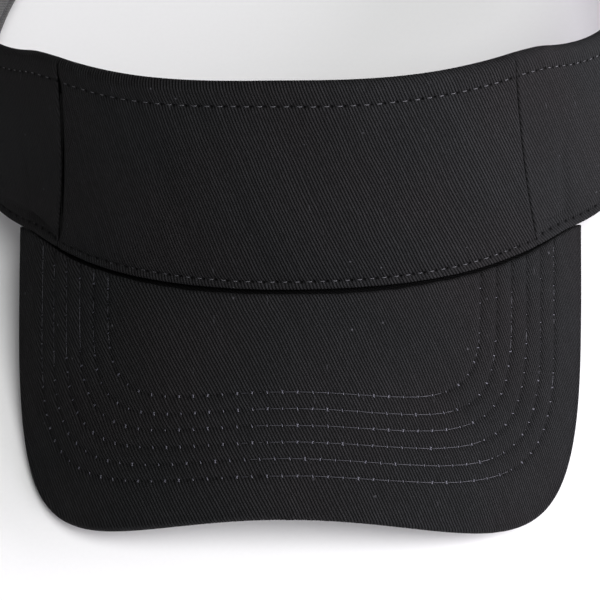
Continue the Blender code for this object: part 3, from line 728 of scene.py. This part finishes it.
def outer_panel(name, start, end, seed, columns, mat, sewn, folds):
    """An outer panel with its rolled and stitched hem. start and end are functions of the height's share
    that give an edge's angle, and say whether it is a seam; sewn is where its rows start and end, and folds
    how wide and how deep the cloth turns in at its start and at its end."""
    across = np.linspace(0, 1, columns + 1)
    width = along(end[0](0.5)) - along(start[0](0.5))
    near = np.array([0, 0.15, 0.35, 0.6, 0.95, 1.4]) / width
    across = np.concatenate([near, across[(across > 2 / width) & (across < 1 - 2 / width)], 1 - near[::-1]])

    def edge_to_edge(share):
        return start[0](share) * (1 - across)[None] + end[0](share) * across[None]

    # The rows reach from the rim to the start of the fold at every angle
    radius, rim_part = HEM_INNER / 2, 4.2
    top = height(start[0](0.5) * (1 - across) + end[0](0.5) * across)[None]
    low = np.concatenate([[0, 0.12, 0.3, 0.55, 0.85, 1.2], np.linspace(1.6, rim_part, 8)])[:, None]
    high = np.linspace(0, 1, 92)[1:, None]
    ups = np.concatenate([low + 0 * top, rim_part + high * (top - radius - rim_part)])
    share = ups / top
    angle = edge_to_edge(share)
    length, top_at = along(angle), height(angle)
    ups = ups * (top_at / top)
    to_start, to_end = length - along(start[0](share)), along(end[0](share)) - length
    seam_distance = np.minimum(to_start if start[1] else 1e3, to_end if end[1] else 1e3)
    edge_distance = np.minimum(to_start, to_end)
    relief = band_relief(length, ups, top_at, seam_distance, seed) * ease(edge_distance, -0.5, 2.0)
    soft, deep = (np.where(to_start < to_end, *pair) for pair in zip(*folds))
    turned = roll(edge_distance, soft) / soft * deep
    turned *= (0.3 + 0.7 * ease(ups, 1.5, 6.0)) * (1 - 0.5 * ease(share, 0.86, 0.96))
    depth = np.minimum(roll(ups, 0.75), 0.6) + turned - relief

    # Over the rolled top, down the hem inside, back up under the roll, and down the panel's own back
    fold_top = (top_at[-1] - radius)[None]
    arc = np.linspace(0, math.pi, 11)[1:, None]
    bulge = np.clip(-relief[-1], -0.2, 0.2)[None]
    roll_depth = radius - (radius - turned[-1:] * (arc < 1.6)) * np.cos(arc)
    roll_depth += bulge * np.clip(np.cos(arc), 0, 1)
    hem_up = fold_top - np.linspace(0, 1, 10)[1:, None] * (HEM_LENGTH - radius)
    hem_row = hill(hem_up - (top_at[-1] - TOP_ROW)[None], 0.8)
    hem_depth = HEM_INNER - 0.22 * hem_row + 0.05 * waves(length[-1][None], hem_up, seed + 5, 14.0)
    inner_up = np.concatenate([hem_up[-1:], hem_up[-1:] + radius * 3])
    under, thin = np.linspace(math.pi, 0, 5)[:, None], radius - CLOTH
    back_up = np.concatenate([np.linspace(1, 0.16, 7)[1:], np.linspace(0.14, 0, 14)])[:, None] * fold_top
    own = np.array([np.interp(back_up[:, k], ups[:, k], depth[:, k]) for k in range(depth.shape[1])]).T
    depth = np.concatenate([depth, roll_depth, hem_depth, np.full_like(inner_up, HEM_INNER - CLOTH),
                            radius - thin * np.cos(under) + 0 * fold_top, np.maximum(CLOTH, own + 0.3)])
    walls, folded, hems = np.cumsum([len(ups), len(arc), len(hem_up)])
    ups = np.concatenate([ups, fold_top + radius * np.sin(arc), hem_up, inner_up,
                          fold_top + thin * np.sin(under), back_up])
    angles = np.concatenate([angle, edge_to_edge(np.clip(ups[walls:] / top_at[-1][None], 0, 1))])
    points = wall(angles, depth, ups)
    # Cloth coordinates: along the band, and up over the fold and on down the hem
    run = lengths_along(points)
    run = run - run[walls - 1][None] + ups[walls - 1][None]
    uv = np.stack([along(angles), run], -1)
    # The place along the nearest row; the distance changes its sign at each row, so it has no jumps
    marks = np.where(ups > top_at[-1] / 2, marks_at(angles, sewn, "top", seed),
                     marks_at(angles, sewn, "rim", seed))
    marks[folded:hems] = marks_at(angles[folded:hems], sewn, "hem", seed)
    off = np.full(ups.shape, 3.0)
    off[:walls] = np.minimum(ups[:walls] - BOTTOM_ROW, (top_at - TOP_ROW) - ups[:walls])
    off[walls:folded] = radius - TOP_ROW
    off[folded:hems] = (top_at[-1] - TOP_ROW)[None] - hem_up
    points, uv, rows_uv = (v.transpose(1, 0, 2) for v in (points, uv, np.stack([marks, off], -1)))
    return tube_of_sections(name, points, uv, mat, rows_uv)


def seam_edge(side, away=0.0):
    """A panel's edge at a front seam, a little away from the seam's line except at the rim and the hem."""

    def edge(share):
        share = np.asarray(share, float)
        open_there = ease(share, 0.02, 0.12) * (1 - 0.8 * ease(share, 0.86, 0.96))
        return side * SEAM_ANGLE + away * open_there + seam_bow(side, share)

    return (edge, True)


def cut_edge(angle):
    return (lambda share: angle + 0.0 * np.asarray(share, float), False)


def band_stitches(name, sewn, seed):
    """Rows of stitches on the outside and inside of one outer panel."""
    angles = np.linspace(*sewn, 400)
    rows = []
    for kind, facing, style in (("top", 1.0, flat_style(0.13, 0.3, 0.22, 0.62)), ("hem", -1.0, flat_style()),
                                ("rim", 1.0, flat_style(0.13, 0.3, 0.24, 0.62))):
        points, normals = band_row(angles, kind, seed)
        rows.append(sew(points, normals * facing, BAND_SPACING, style, seed=seed + len(rows)))
    return stitches(name, rows, BAND_THREAD, 0.13)


RIGHT = seam_edge(1)
FRONT_SEWN = (-SEAM_ANGLE + 1.1, SEAM_ANGLE - 0.5)
RIGHT_SEWN = (SEAM_ANGLE + 1.3, RIGHT_END - 0.6)
LEFT_SEWN = (-LEFT_END + 0.6, -SEAM_ANGLE - 1.4)
FRONT_SEED, RIGHT_SEED, LEFT_SEED = 11, 23, 37
SLIGHT, SOFT, DEEP = (0.95, 0.63), (1.35, 0.63), (1.9, 1.0)  # how the cloth turns in at an edge
front = outer_panel("front_panel_cloth", seam_edge(-1, 0.45), RIGHT, FRONT_SEED, 165, PANEL_TWILL,
                    FRONT_SEWN, (DEEP, SLIGHT))
right = outer_panel("right_band_cloth", RIGHT, cut_edge(RIGHT_END), RIGHT_SEED, 190, SIDE_TWILL,
                    RIGHT_SEWN, (SLIGHT, SLIGHT))
left = outer_panel("left_band_cloth", cut_edge(-LEFT_END), seam_edge(-1, -0.30), LEFT_SEED, 180, SIDE_TWILL,
                   LEFT_SEWN, (SOFT, SOFT))
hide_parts("front_panel")
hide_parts("right_side_band")
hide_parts("left_side_band", "left_band_end")
front_thread = band_stitches("front_panel_stitches", FRONT_SEWN, FRONT_SEED)
right_thread = band_stitches("right_band_stitches", RIGHT_SEWN, RIGHT_SEED)
left_thread = band_stitches("left_band_stitches", LEFT_SEWN, LEFT_SEED)
for piece in (front, right, front_thread, right_thread):
    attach(piece, "band")

# The left band is one cloth, from its front seam round to its end by the strap: it is attached to neither
# body, and its place is baked into its mesh
for piece in (left, left_thread):
    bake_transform(piece)


# ---------------------------------------------------------------- linings, tapes and label

def strip_cloth(name, start, end, layer, low, high, seed, mat, wave=0.12, columns=90, rows=26, edge=0.3):
    """A strip of cloth on the inside of the wall, with rounded edges and soft waves."""
    angle = np.linspace(start, end, columns)[None, :]
    v = np.concatenate([[0, 0.008, 0.02], np.linspace(0.04, 0.96, rows), [0.98, 0.992, 1]])[:, None]
    low_at = low + 0 * angle
    high_at = high(angle) if callable(high) else high + 0 * angle
    up = low_at + v * (high_at - low_at)
    length = along(angle) + 0 * up
    edges = np.minimum(up - low_at, high_at - up)
    edges = np.minimum(edges, np.minimum(length - length[:, :1], length[:, -1:] - length))
    slack = wave * waves(length, up, seed, 17.0) * ease(edges, 0, 3)
    inner = wall(angle, layer[1] - roll(edges, edge) + np.maximum(slack, -0.25), up)
    outer = wall(angle, layer[0] + 0 * up, up)
    return shell(name, inner, outer, np.stack([length, up], -1), mat)


def below_hem(angle):
    return height(angle) - HEM_LENGTH - GAP


def tape_top(angle):
    return height(angle) - HEM_INNER


SEAM_GAP = 0.09
inside = []
for name, node, start, end, seed, columns in (
        ("front_lining_cloth", "front_lining", -SEAM_ANGLE + SEAM_GAP, SEAM_ANGLE - SEAM_GAP, 51, 90),
        ("right_lining_cloth", "right_side_lining", SEAM_ANGLE + SEAM_GAP, RIGHT_END - 1, 53, 120),
        ("left_lining_cloth", "left_side_lining", -LEFT_END + 4, -SEAM_ANGLE - SEAM_GAP, 57, 120)):
    lining = strip_cloth(name, start, end, LINING, 0.0, below_hem, seed, LINING_CLOTH, columns=columns)
    inside.append((lining, node, "lining_cloth"))

INNER_FACE = TAPE[1] - 0.02  # where the threads lie on the tapes and the label
tape_rows = []
for side, word in ((1, "right"), (-1, "left")):
    middle = side * SEAM_ANGLE
    tape = strip_cloth(f"{word}_tape_cloth", middle - TAPE_HALF_ANGLE, middle + TAPE_HALF_ANGLE, TAPE, GAP,
                       tape_top, 61 + side, TAPE_CLOTH, 0.05, 24, 50)
    inside.append((tape, f"{word}_seam_tape", "tape_satin"))
    for offset in (-TAPE_HALF_ANGLE + 0.7, TAPE_HALF_ANGLE - 0.7):
        ups = np.linspace(1.5, tape_top(middle) - 0.8, 200)
        tape_rows.append(wall_row(middle + offset, ups, INNER_FACE, -1, 2.8, flat_style(0.07, 0.18),
                                  71 + side))
inside.append((stitches("tape_stitches", tape_rows, BAND_THREAD, 0.12), None, "tape_satin"))

label = strip_cloth("blank_label_cloth", *LABEL_ANGLES, TAPE, *LABEL_HEIGHTS, 81, LABEL_CLOTH, 0.06, 40, 22)
inside.append((label, "care_label", "label_satin"))
angles = np.linspace(LABEL_ANGLES[0] + 0.8, LABEL_ANGLES[1] - 0.8, 120)
label_rows = [wall_row(angles, up, INNER_FACE, -1, 2.4, flat_style(0.06, 0.15), 83)
              for up in (LABEL_HEIGHTS[0] + 1.0, LABEL_HEIGHTS[1] - 1.0)]
inside.append((stitches("label_stitches", label_rows, BAND_THREAD, 0.11), None, "label_satin"))

for piece, node, slot in inside:
    if node:
        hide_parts(node)
    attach(piece, "band")


# ---------------------------------------------------------------- sweatband

def soft_strip(name, angle, length, low, high, layer, counts, swell, mat):
    """A flat tube of cloth along the wall, with round edges. counts are the points over a face and round an
    edge; swell gives how far the inner (1) or the outer (-1) face stands out at some heights."""
    middle, half = sum(layer) / 2, (layer[1] - layer[0]) / 2
    ups = low + half + (high - low - 2 * half) * np.linspace(0, 1, counts[0])[None, 1:-1] + 0 * length
    turn = np.linspace(0, math.pi, counts[1])[None] + 0 * length
    down = ups[:, ::-1]
    depth = np.concatenate([middle + half + swell(ups, 1), middle + half * np.cos(turn),
                            middle - half - swell(down, -1), middle - half * np.cos(turn)], 1)
    up = np.concatenate([ups, high - half + half * np.sin(turn), down, low + half - half * np.sin(turn)], 1)
    points = wall(angle, depth, up)
    uv = np.stack([length + 0 * depth, lengths_along(points, 1)], -1)
    return tube_of_sections(name, points, uv, mat)


def sweatband_low(angle):
    return GAP - (SWEATBAND_DROP + GAP) * (1 - ease(np.abs(angle), 30.0, 60.0))


def make_sweatband():
    """A soft padded strip: full in the middle, drawn in at its folded top and along its stitched foot."""
    foot_row, head_row = 4.6, SWEATBAND_TOP - 3.4
    angle = np.linspace(-SWEATBAND_END, SWEATBAND_END, 330)[:, None]
    low, high, length = sweatband_low(angle), SWEATBAND_TOP, along(angle)
    ends = ease(np.minimum(length - length[0], length[-1] - length), 0, 5)

    def swell(v, facing):
        foot, head = v - (low + foot_row), v - head_row
        out = 0.42 * np.sin(np.pi * np.clip((v - low) / (high - low), 0, 1)) ** 0.6
        out -= 0.62 * hill(foot, 0.9) + 0.45 * hill(head, 0.8)
        out += 0.16 * waves(length, v * 0.35, 91, 7.0) * (hill(foot, 5.0) + 0.6 * hill(head, 3.5))
        out += 0.13 * waves(length, v, 93, 21.0)
        return (out if facing > 0 else np.minimum(out, 0.0) * 0.5) * ends

    pad = soft_strip("sweatband_pad", angle, length, low, high, SWEATBAND, (34, 9), swell, SWEAT_CLOTH)
    angles = np.linspace(-SWEATBAND_END + 1, SWEATBAND_END - 1, 900)
    rows = [wall_row(angles, up, SWEATBAND[1] - 0.22, -1, 3.4, flat_style(), seed)
            for up, seed in ((sweatband_low(angles) + foot_row, 95), (head_row, 97))]
    return pad, stitches("sweatband_stitches", rows, BAND_THREAD)


pad, pad_thread = make_sweatband()
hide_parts("sweatband")
for piece in (pad, pad_thread):
    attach(piece, "band")


# ---------------------------------------------------------------- brim

def brim_row(half_width, reach, squareness):
    """One row of brim stitches in (s, t): straight along the sides, with rounded front corners."""
    curve = rounded(np.linspace(-90, 90, 600), half_width, BRIM_ROW_START, reach, squareness)
    back = float(brim_back(half_width)) + 0.8
    side = np.linspace(back, BRIM_ROW_START, 40)[:-1]
    leg = np.stack([0 * side - half_width, side], -1)
    return spaced(np.concatenate([leg, curve, (leg * (-1, 1))[::-1]]), 1600)


BRIM_LINES = [brim_row(*row) for row in BRIM_ROWS]
BRIM_MARKS = [row_marks(brim(line[:, 0], line[:, 1]), BRIM_SPACING) for line in BRIM_LINES]


def nearest_of(line, st):
    """For points of the brim: the number of the nearest point of a line, and the distance from it."""
    tree = KDTree(len(line))
    for i, (a, b) in enumerate(line):
        tree.insert((a, b, 0.0), i)
    tree.balance()
    found = [tree.find((a, b, 0.0)) for a, b in st.reshape(-1, 2)]
    return np.array([f[1] for f in found]), np.array([f[2] for f in found])


def nearest_row(st):
    """For points of the brim: the distance from the nearest row, and the map of places along the rows."""
    lines = np.concatenate(BRIM_LINES)
    index, distance = nearest_of(lines, st)
    way = np.concatenate([unit(np.gradient(line, axis=0)) for line in BRIM_LINES])[index]
    step = st.reshape(-1, 2) - lines[index]
    outside = step[:, 1] * way[:, 0] - step[:, 0] * way[:, 1]
    size = np.where(np.abs(outside) > 0.8 * distance, np.abs(outside), distance)
    sign = np.sign(outside) * (-1.0) ** (index // len(BRIM_LINES[0]))
    sewn = np.stack([np.concatenate(BRIM_MARKS)[index], sign * size], -1)
    return distance.reshape(st.shape[:2]), sewn.reshape(st.shape)


def cloth_waves(s, t, seed):
    """How far the brim's cloth rises between its puckers: short waves beside the rows, and long ones."""
    return 0.05 * waves(s, t, seed, 6.0), 0.10 * waves(s, t, seed + 1, 38.0)


def make_brim(name, facing, columns, rows, mat, seed):
    """One cover of the brim, from its stitched face over the edge to the seam at mid thickness."""
    st = brim_patch(columns, rows)
    s, t = st[..., 0], st[..., 1]
    nearest, sewn = nearest_row(st)
    to_edge = nearest_of(brim_outline(np.linspace(-89.9, 89.9, 4000)), st)[1].reshape(s.shape)
    to_back = (t - brim_back(s)) * 0.85
    if facing > 0:
        # The top cover keeps clear of the band's face, and comes up close to it at the right
        away = 0.80 - 0.4 * ease(s, 15, 50) + 0.12 * waves(s, 0 * s, seed + 2, 9.0)
        t = t + away * (1 - ease(np.abs(s), 64, 82)) * ease(-to_back, -12.0, 0.0)

    short, long = cloth_waves(s, t, seed)
    relief = -0.26 * hill(nearest, 0.5) - 0.14 * hill(nearest, 1.3)
    relief += short * (1 - np.clip(nearest / 2.3, 0, 1) ** 2) + long
    relief += 0.10 * hill(to_edge - 1.0, 0.8) - 0.10 * hill(to_edge - 2.6, 1.1)
    relief *= ease(to_edge, 0.1, 1.6)
    drop = roll(to_edge, 1.25) / 1.25 * (BRIM_THICK / 2 - 0.06)
    drop = np.maximum(drop, roll(to_back, 0.6) * (1 - 0.7 * ease(np.abs(s), 66, 84)))
    depth = drop - relief
    inner = np.minimum(depth + CLOTH, BRIM_THICK / 2 - 0.03)
    depth = np.minimum(depth, inner - 0.02)
    if facing < 0:
        return shell(name, brim(s, t, BRIM_THICK - depth), brim(s, t, BRIM_THICK - inner), st, mat, sewn)
    # Behind the board the cloth turns down, on its way into the seam with the band
    down = np.array([3.1, 2.3, 1.5, 0.95])[:, None]
    s = np.concatenate([np.repeat(s[:1], 4, 0), s])
    t = np.concatenate([t[:1] - 0.16 + 0 * down, t])
    st = np.concatenate([np.stack([s[:4], st[:1, :, 1] - down], -1), st])
    depth = np.concatenate([down + 0 * s[:4], depth])
    inner = np.concatenate([down + 0.05 + 0 * s[:4], inner])
    sewn = np.concatenate([sewn[:1] * (1, 0) + (0, 3) + 0 * sewn[:4], sewn])
    forwards = np.zeros(s.shape)
    forwards[:4] = 0.1
    return shell(name, brim(s, t, depth), brim(s, t + forwards, inner), st, mat, sewn)


top_size, under_size = (((288, 164), (230, 130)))
TOP_SEED, UNDER_SEED = 101, 111
top_cover = make_brim("brim_top_cloth", 1, *top_size, BRIM_TWILL, TOP_SEED)
under_cover = make_brim("brim_under_cloth", -1, *under_size, UNDER_TWILL, UNDER_SEED)


def brim_stitches(name, facing, seed, cloth_seed):
    """The brim's rows on one face, and on top the knots at their needle holes. cloth_seed is the cover's."""
    thread_depth = 0.36
    rows, knots = [], []
    for k, (s, t) in enumerate(line.T for line in BRIM_LINES):
        short, long = cloth_waves(s, t, cloth_seed)

        def row_at(sunk):
            at = thread_depth - short - long + sunk
            level = at if facing > 0 else BRIM_THICK - at
            points = brim(s, t, level)
            normals = unit(brim(s, t, level - 1.0) - points) * facing
            return sew(points, normals, BRIM_SPACING, taut_style(), 0.05, seed + k)

        # Along the sides, on the left half and round the right corner the thread is drawn into the cloth
        legs = 1 - ease(t, 0, 14)
        left_half = 0.17 * (1 - ease(s, -28, 12))
        corner = 0.16 * ease(s / BRIM_ROWS[k][0], 0.66, 0.88)
        across = np.maximum(left_half, corner) * (1 - legs)
        rows.append(row_at(np.maximum(np.where(s < 0, 0.05, 0.125) * legs, across)))
        # A knot sits half way between the middles of two stitches, and its size varies
        starts, ends, ups, _ = row_at(np.maximum(np.where(s < 0, 0.13, 0.18) * legs, corner * 0.65))
        middles = (starts + ends) / 2
        kind = np.random.default_rng(seed + 50 + k).integers(0, 3, len(middles) - 1)
        for part in range(4):
            # The last sort lies over others, at every sixth hole; every other sort has a second end
            pick = np.flatnonzero(kind == part) if part < 3 else np.arange(0, len(kind), 6)
            for reach, lean, lift in ((0.50, 0.03, 0.10), (0.36, -0.12, 0.08))[:1 + part % 2]:
                style = knot_style(reach + 0.08 * part, lean + 0.02 * part, lift + 0.02 * part)
                knots.append((middles[pick], middles[pick + 1], ups[pick], style))
    pieces = [stitches(name, rows, BRIM_THREAD, 0.095)]
    if facing > 0:
        pieces.append(stitches("brim_knots", knots, KNOT_THREAD, 0.11))
    return pieces


brim_thread = (*brim_stitches("brim_top_stitches", 1, 121, TOP_SEED),
               *brim_stitches("brim_under_stitches", -1, 131, UNDER_SEED))


def make_board():
    """The flexible board, with its edges rounded; it stops short of the seam with the band."""
    st = brim_patch(120, 60, 1.15)
    s, t = st[..., 0], st[..., 1]
    t = t + 2.1 * ease(brim_back(s) - t, -14.0, 0.0)
    drop = np.zeros(s.shape)
    for ring, low in ((1, 0.08), (0, 0.45)):
        drop[[ring, -1 - ring]] = low
        drop[:, [ring, -1 - ring]] = low
    return shell("brim_board_plastic", brim(s, t, 1.0 + drop), brim(s, t, 3.0 - drop), st, BOARD)


def make_brim_seam():
    """The seam that joins brim and band: the raw edges of both, folded back under the band's rim."""
    angle = np.linspace(-50.0, 50.0, 160)[None, :]
    outer = 0.1 + 1.0 * (1 - ease(np.abs(angle), 12.0, 36.0))
    depth = -outer + (3.85 + outer) * np.linspace(0, 1, 17)[:, None]
    sag = 0.12 * waves(along(angle), depth, 161, 11.0) - 0.5 * np.clip(-depth, 0, 2)
    # Its cloth is painted near-black: painted shade for the deep crease between brim and band
    return shell("brim_seam_cloth", wall(angle, depth, -1.35 + sag), wall(angle, depth, -1.85 + sag),
                 np.stack([along(angle) + 0 * depth, depth], -1), PAINTED_SHADE_FOLD_CLOTH)


board = make_board()
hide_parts("brim_top_cover")
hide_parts("brim_under_cover")
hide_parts("brim_board")
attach(board, "band")
for piece in (top_cover, under_cover, make_brim_seam(), *brim_thread):
    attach(piece, "band")


# ---------------------------------------------------------------- strap and tab

def around(angle):
    """The same angles between -180 and 180."""
    return (angle + 180.0) % 360.0 - 180.0


def make_strap():
    """The closure strap: folded webbing with turned edges and two rows of stitches."""
    start, end = STRAP_START, STRAP_END - 360.0
    angle = np.linspace(start, end, 240)[:, None]
    low, high = STRAP_HEIGHTS
    length = -math.radians(1) * (PLAN_WIDTH + SPRING_OUT) * (angle - start)
    rows_at = (low + 2.0, high - 2.0)

    def swell(v, facing):
        return sum(-0.16 * hill(v - at, 0.7) for at in rows_at) + 0.06 * waves(length, v, 141, 12.0)

    strap = soft_strip("strap_cloth", around(angle), length, low, high, STRAP, (30, 7), swell, STRAP_TWILL)
    angles = around(np.linspace(start - 0.6, end + 0.8, 900))
    rows = [wall_row(angles, at, depth, facing, 3.0, flat_style(0.07, 0.18), 143)
            for depth, facing in ((STRAP[0] + 0.1, 1), (STRAP[1] - 0.1, -1)) for at in rows_at]
    return strap, stitches("strap_stitches", rows, BAND_THREAD, 0.12)


strap, strap_thread = make_strap()
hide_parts("closure_strap")
for piece in (strap, strap_thread):
    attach(piece, "strap")


def seat_frame():
    """The buckle's own frame: its origin, and its X, Y and Z axes, in the cap's frame."""
    middle = wall(BUCKLE_ANGLE, STRAP[0], BUCKLE_MIDDLE)
    out = plan(np.array(BUCKLE_ANGLE))[1]
    tilt = math.radians(REAR_LEAN)
    outward = np.array([*out * math.cos(tilt), math.sin(tilt)])
    downward = np.array([*out * math.sin(tilt), -math.cos(tilt)])
    return middle, np.array([np.cross(downward, outward), downward, outward])


def make_tab():
    """The cloth tab: doubled round the buckle's bar, and sewn flat on the right band's end."""
    origin, axes = seat_frame()
    radius = PLAN_WIDTH + SPRING_OUT - STRAP[0] - BUCKLE_MIDDLE * math.sin(math.radians(REAR_LEAN))

    def bent(x, y, z):
        """Points of the tab, laid flat along X, bent round the band."""
        turn = x / radius
        return (origin + ((radius + z) * np.sin(turn))[:, None] * axes[0] + (y + 0 * x)[:, None] * axes[1]
                + ((radius + z) * np.cos(turn) - radius)[:, None] * axes[2])

    outer = BAR_RADIUS + GAP + CLOTH
    middle, half = sum(TAB_LAYER) / 2, (TAB_LAYER[1] - TAB_LAYER[0]) / 2
    bar_x, bar_z = BAR_AT
    turns = np.radians(np.linspace(60, 300, 25))
    merge = bar_x + 2.2 * outer
    run = np.linspace(merge, TAB_END - 0.4, 34)
    low = np.stack([run, middle - half + 0 * run], -1)
    high = np.stack([run, middle + half + 0 * run], -1)[::-1]
    nose = [(TAB_END, middle - 0.3), (TAB_END + 0.05, middle), (TAB_END, middle + 0.3)]
    profile = np.concatenate([
        np.stack([bar_x + outer * np.cos(turns), bar_z + outer * np.sin(turns)], -1), low, nose, high])
    # A box with a cross is sewn through the tab and the band, between two rows across it
    near_row, far_row, side_row = TAB_END - 13.0, TAB_END - 1.8, TAB_HALF_HEIGHT - 1.6
    y = np.concatenate([[-1, -0.985, -0.95], np.linspace(-0.9, 0.9, 22), [0.95, 0.985, 1]]) * TAB_HALF_HEIGHT
    points, uvs = [], []
    for v in y:
        x, z = profile.T
        flat = x > merge
        pinch = float(roll(TAB_HALF_HEIGHT - abs(v), 0.45))
        furrow = hill(side_row - abs(v), 0.6) + hill(x - far_row, 0.6) + hill(x - near_row, 0.6)
        squeeze = np.clip(pinch * 0.8 + 0.16 * furrow, 0, 0.62)
        z = np.where(flat & (z > middle), z - squeeze, np.where(flat & (z < middle), z + squeeze * 0.3, z))
        x = np.where(flat & (x > TAB_END - 0.6), x - pinch * 0.6, x)
        points.append(bent(x, v, z))
        uvs.append(np.stack([lengths_along(profile), np.full(len(x), v)], -1))
    tab = tube_of_sections("buckle_tab_cloth", np.array(points), np.array(uvs), STRAP_TWILL)
    box = [(near_row, -side_row), (far_row, -side_row), (far_row, side_row), (near_row, side_row),
           (near_row, -side_row), (far_row, side_row)]
    rows = []
    for path in (box, [box[1], box[3]]):
        for (ax, ay), (bx, by) in zip(path, path[1:]):
            share = np.linspace(0, 1, 60)
            line = bent(ax + (bx - ax) * share, ay + (by - ay) * share, TAB_LAYER[1] - 0.12)
            rows.append(sew(line, np.repeat(axes[2:], 60, 0), 2.6, flat_style(0.08, 0.2), seed=151))
    return tab, stitches("tab_stitches", rows, BAND_THREAD, 0.13)


tab, tab_thread = make_tab()
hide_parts("buckle_tab")
for piece in (tab, tab_thread):
    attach(piece, "band")


# ---------------------------------------------------------------- carried-over hard pieces

for node, mat in (("buckle_frame", METAL), ("buckle_lever", METAL), ("buckle_pin", PIN_METAL),
                  ("front_stiffener", BUCKRAM)):
    materials = frame["nodes"][node].data.materials
    materials.clear()
    materials.append(mat)


# ---------------------------------------------------------------- stage

def make_floor():
    half = 3.0
    mesh = bpy.data.meshes.new("floor")
    mesh.from_pydata([(-half, -half, 0), (half, -half, 0), (half, half, 0), (-half, half, 0)], [],
                     [(0, 1, 2, 3)])
    g = Graph("floor_paper")
    grain = g.noise(g.object_at(), 900.0, 2.0)
    mesh.materials.append(g.finish(g.mix(grain, grey(0.90), grey(0.93)), 0.9))
    show("floor", mesh)


def area_light(name, azimuth, elevation, power, colour):
    """A soft round lamp that faces the object's middle; azimuth 0 is in front of it, and 90 at its right."""
    middle, distance = Vector((0.0, -0.02, 0.05)), 1.3
    a, e = math.radians(azimuth), math.radians(elevation)
    away = Vector((math.sin(a) * math.cos(e), -math.cos(a) * math.cos(e), math.sin(e)))
    data = bpy.data.lights.new(name, "AREA")
    data.shape, data.size, data.energy, data.color = "DISK", 0.7, power, colour
    lamp = show(name, data)
    lamp.location = middle + away * distance
    lamp.rotation_euler = (middle - lamp.location).to_track_quat("-Z", "Y").to_euler()


def make_lights():
    scene = bpy.context.scene
    scene.world = bpy.data.worlds.new("studio")
    scene.world.use_nodes = True
    background = scene.world.node_tree.nodes["Background"].inputs
    background["Color"].default_value, background["Strength"].default_value = (1, 1, 1, 1), 0.03
    plain, cool = (1.0, 1.0, 1.0), (1.02, 0.97, 1.06)
    area_light("side", 90, 15, 17.5, cool)
    area_light("front_side", 55, 15, 8.2, cool)
    area_light("high", 45, 65, 14.0, plain)
    area_light("middle", 60, 40, 3.2, plain)
    scene.view_settings.view_transform, scene.view_settings.look = "Standard", "None"


# Where the camera stands: found by fitting the outline, crease and seams
CAMERA_ELEVATION, CAMERA_TURN, CAMERA_ROLL = 54.03, 4.8, -3.98
CAMERA_DISTANCE, CAMERA_LENS = 515.8, 119.6
CAMERA_AIM = (-0.01094, -0.00552)  # tangents from the crease's middle to the middle of the view


def make_camera():
    """The camera, aimed near the crease's middle, rolled, and turned with its place about the cap's axis."""
    e, r, turn = (math.radians(v) for v in (CAMERA_ELEVATION, CAMERA_ROLL, CAMERA_TURN))
    back, up, right = np.array([[0.0, -math.cos(e), math.sin(e)], [0.0, math.sin(e), math.cos(e)],
                                [1.0, 0.0, 0.0]])
    place = np.array([0.0, -PLAN_DEPTH, 0.0]) + back * CAMERA_DISTANCE
    rolled_right = right * math.cos(r) + up * math.sin(r)
    rolled_up = -right * math.sin(r) + up * math.cos(r)
    ahead = -back + rolled_right * CAMERA_AIM[0] + rolled_up * CAMERA_AIM[1]
    spin = np.array([[math.cos(turn), -math.sin(turn), 0], [math.sin(turn), math.cos(turn), 0], [0, 0, 1]])
    place, ahead, rolled_up = spin @ place, unit(spin @ ahead), spin @ rolled_up
    side = unit(np.cross(ahead, rolled_up))
    axes = np.array([side, np.cross(side, ahead), -ahead]) @ CAP_AXES
    data = bpy.data.cameras.new("camera")
    data.lens, data.sensor_width = CAMERA_LENS, 36.0
    data.clip_start, data.clip_end = 0.01, 20.0
    matrix = Matrix(axes.T.tolist()).to_4x4()
    matrix.translation = Vector(to_model(place))
    camera = show("camera", data)
    camera.matrix_world = matrix
    bpy.context.scene.camera = camera


make_floor()
make_lights()
make_camera()
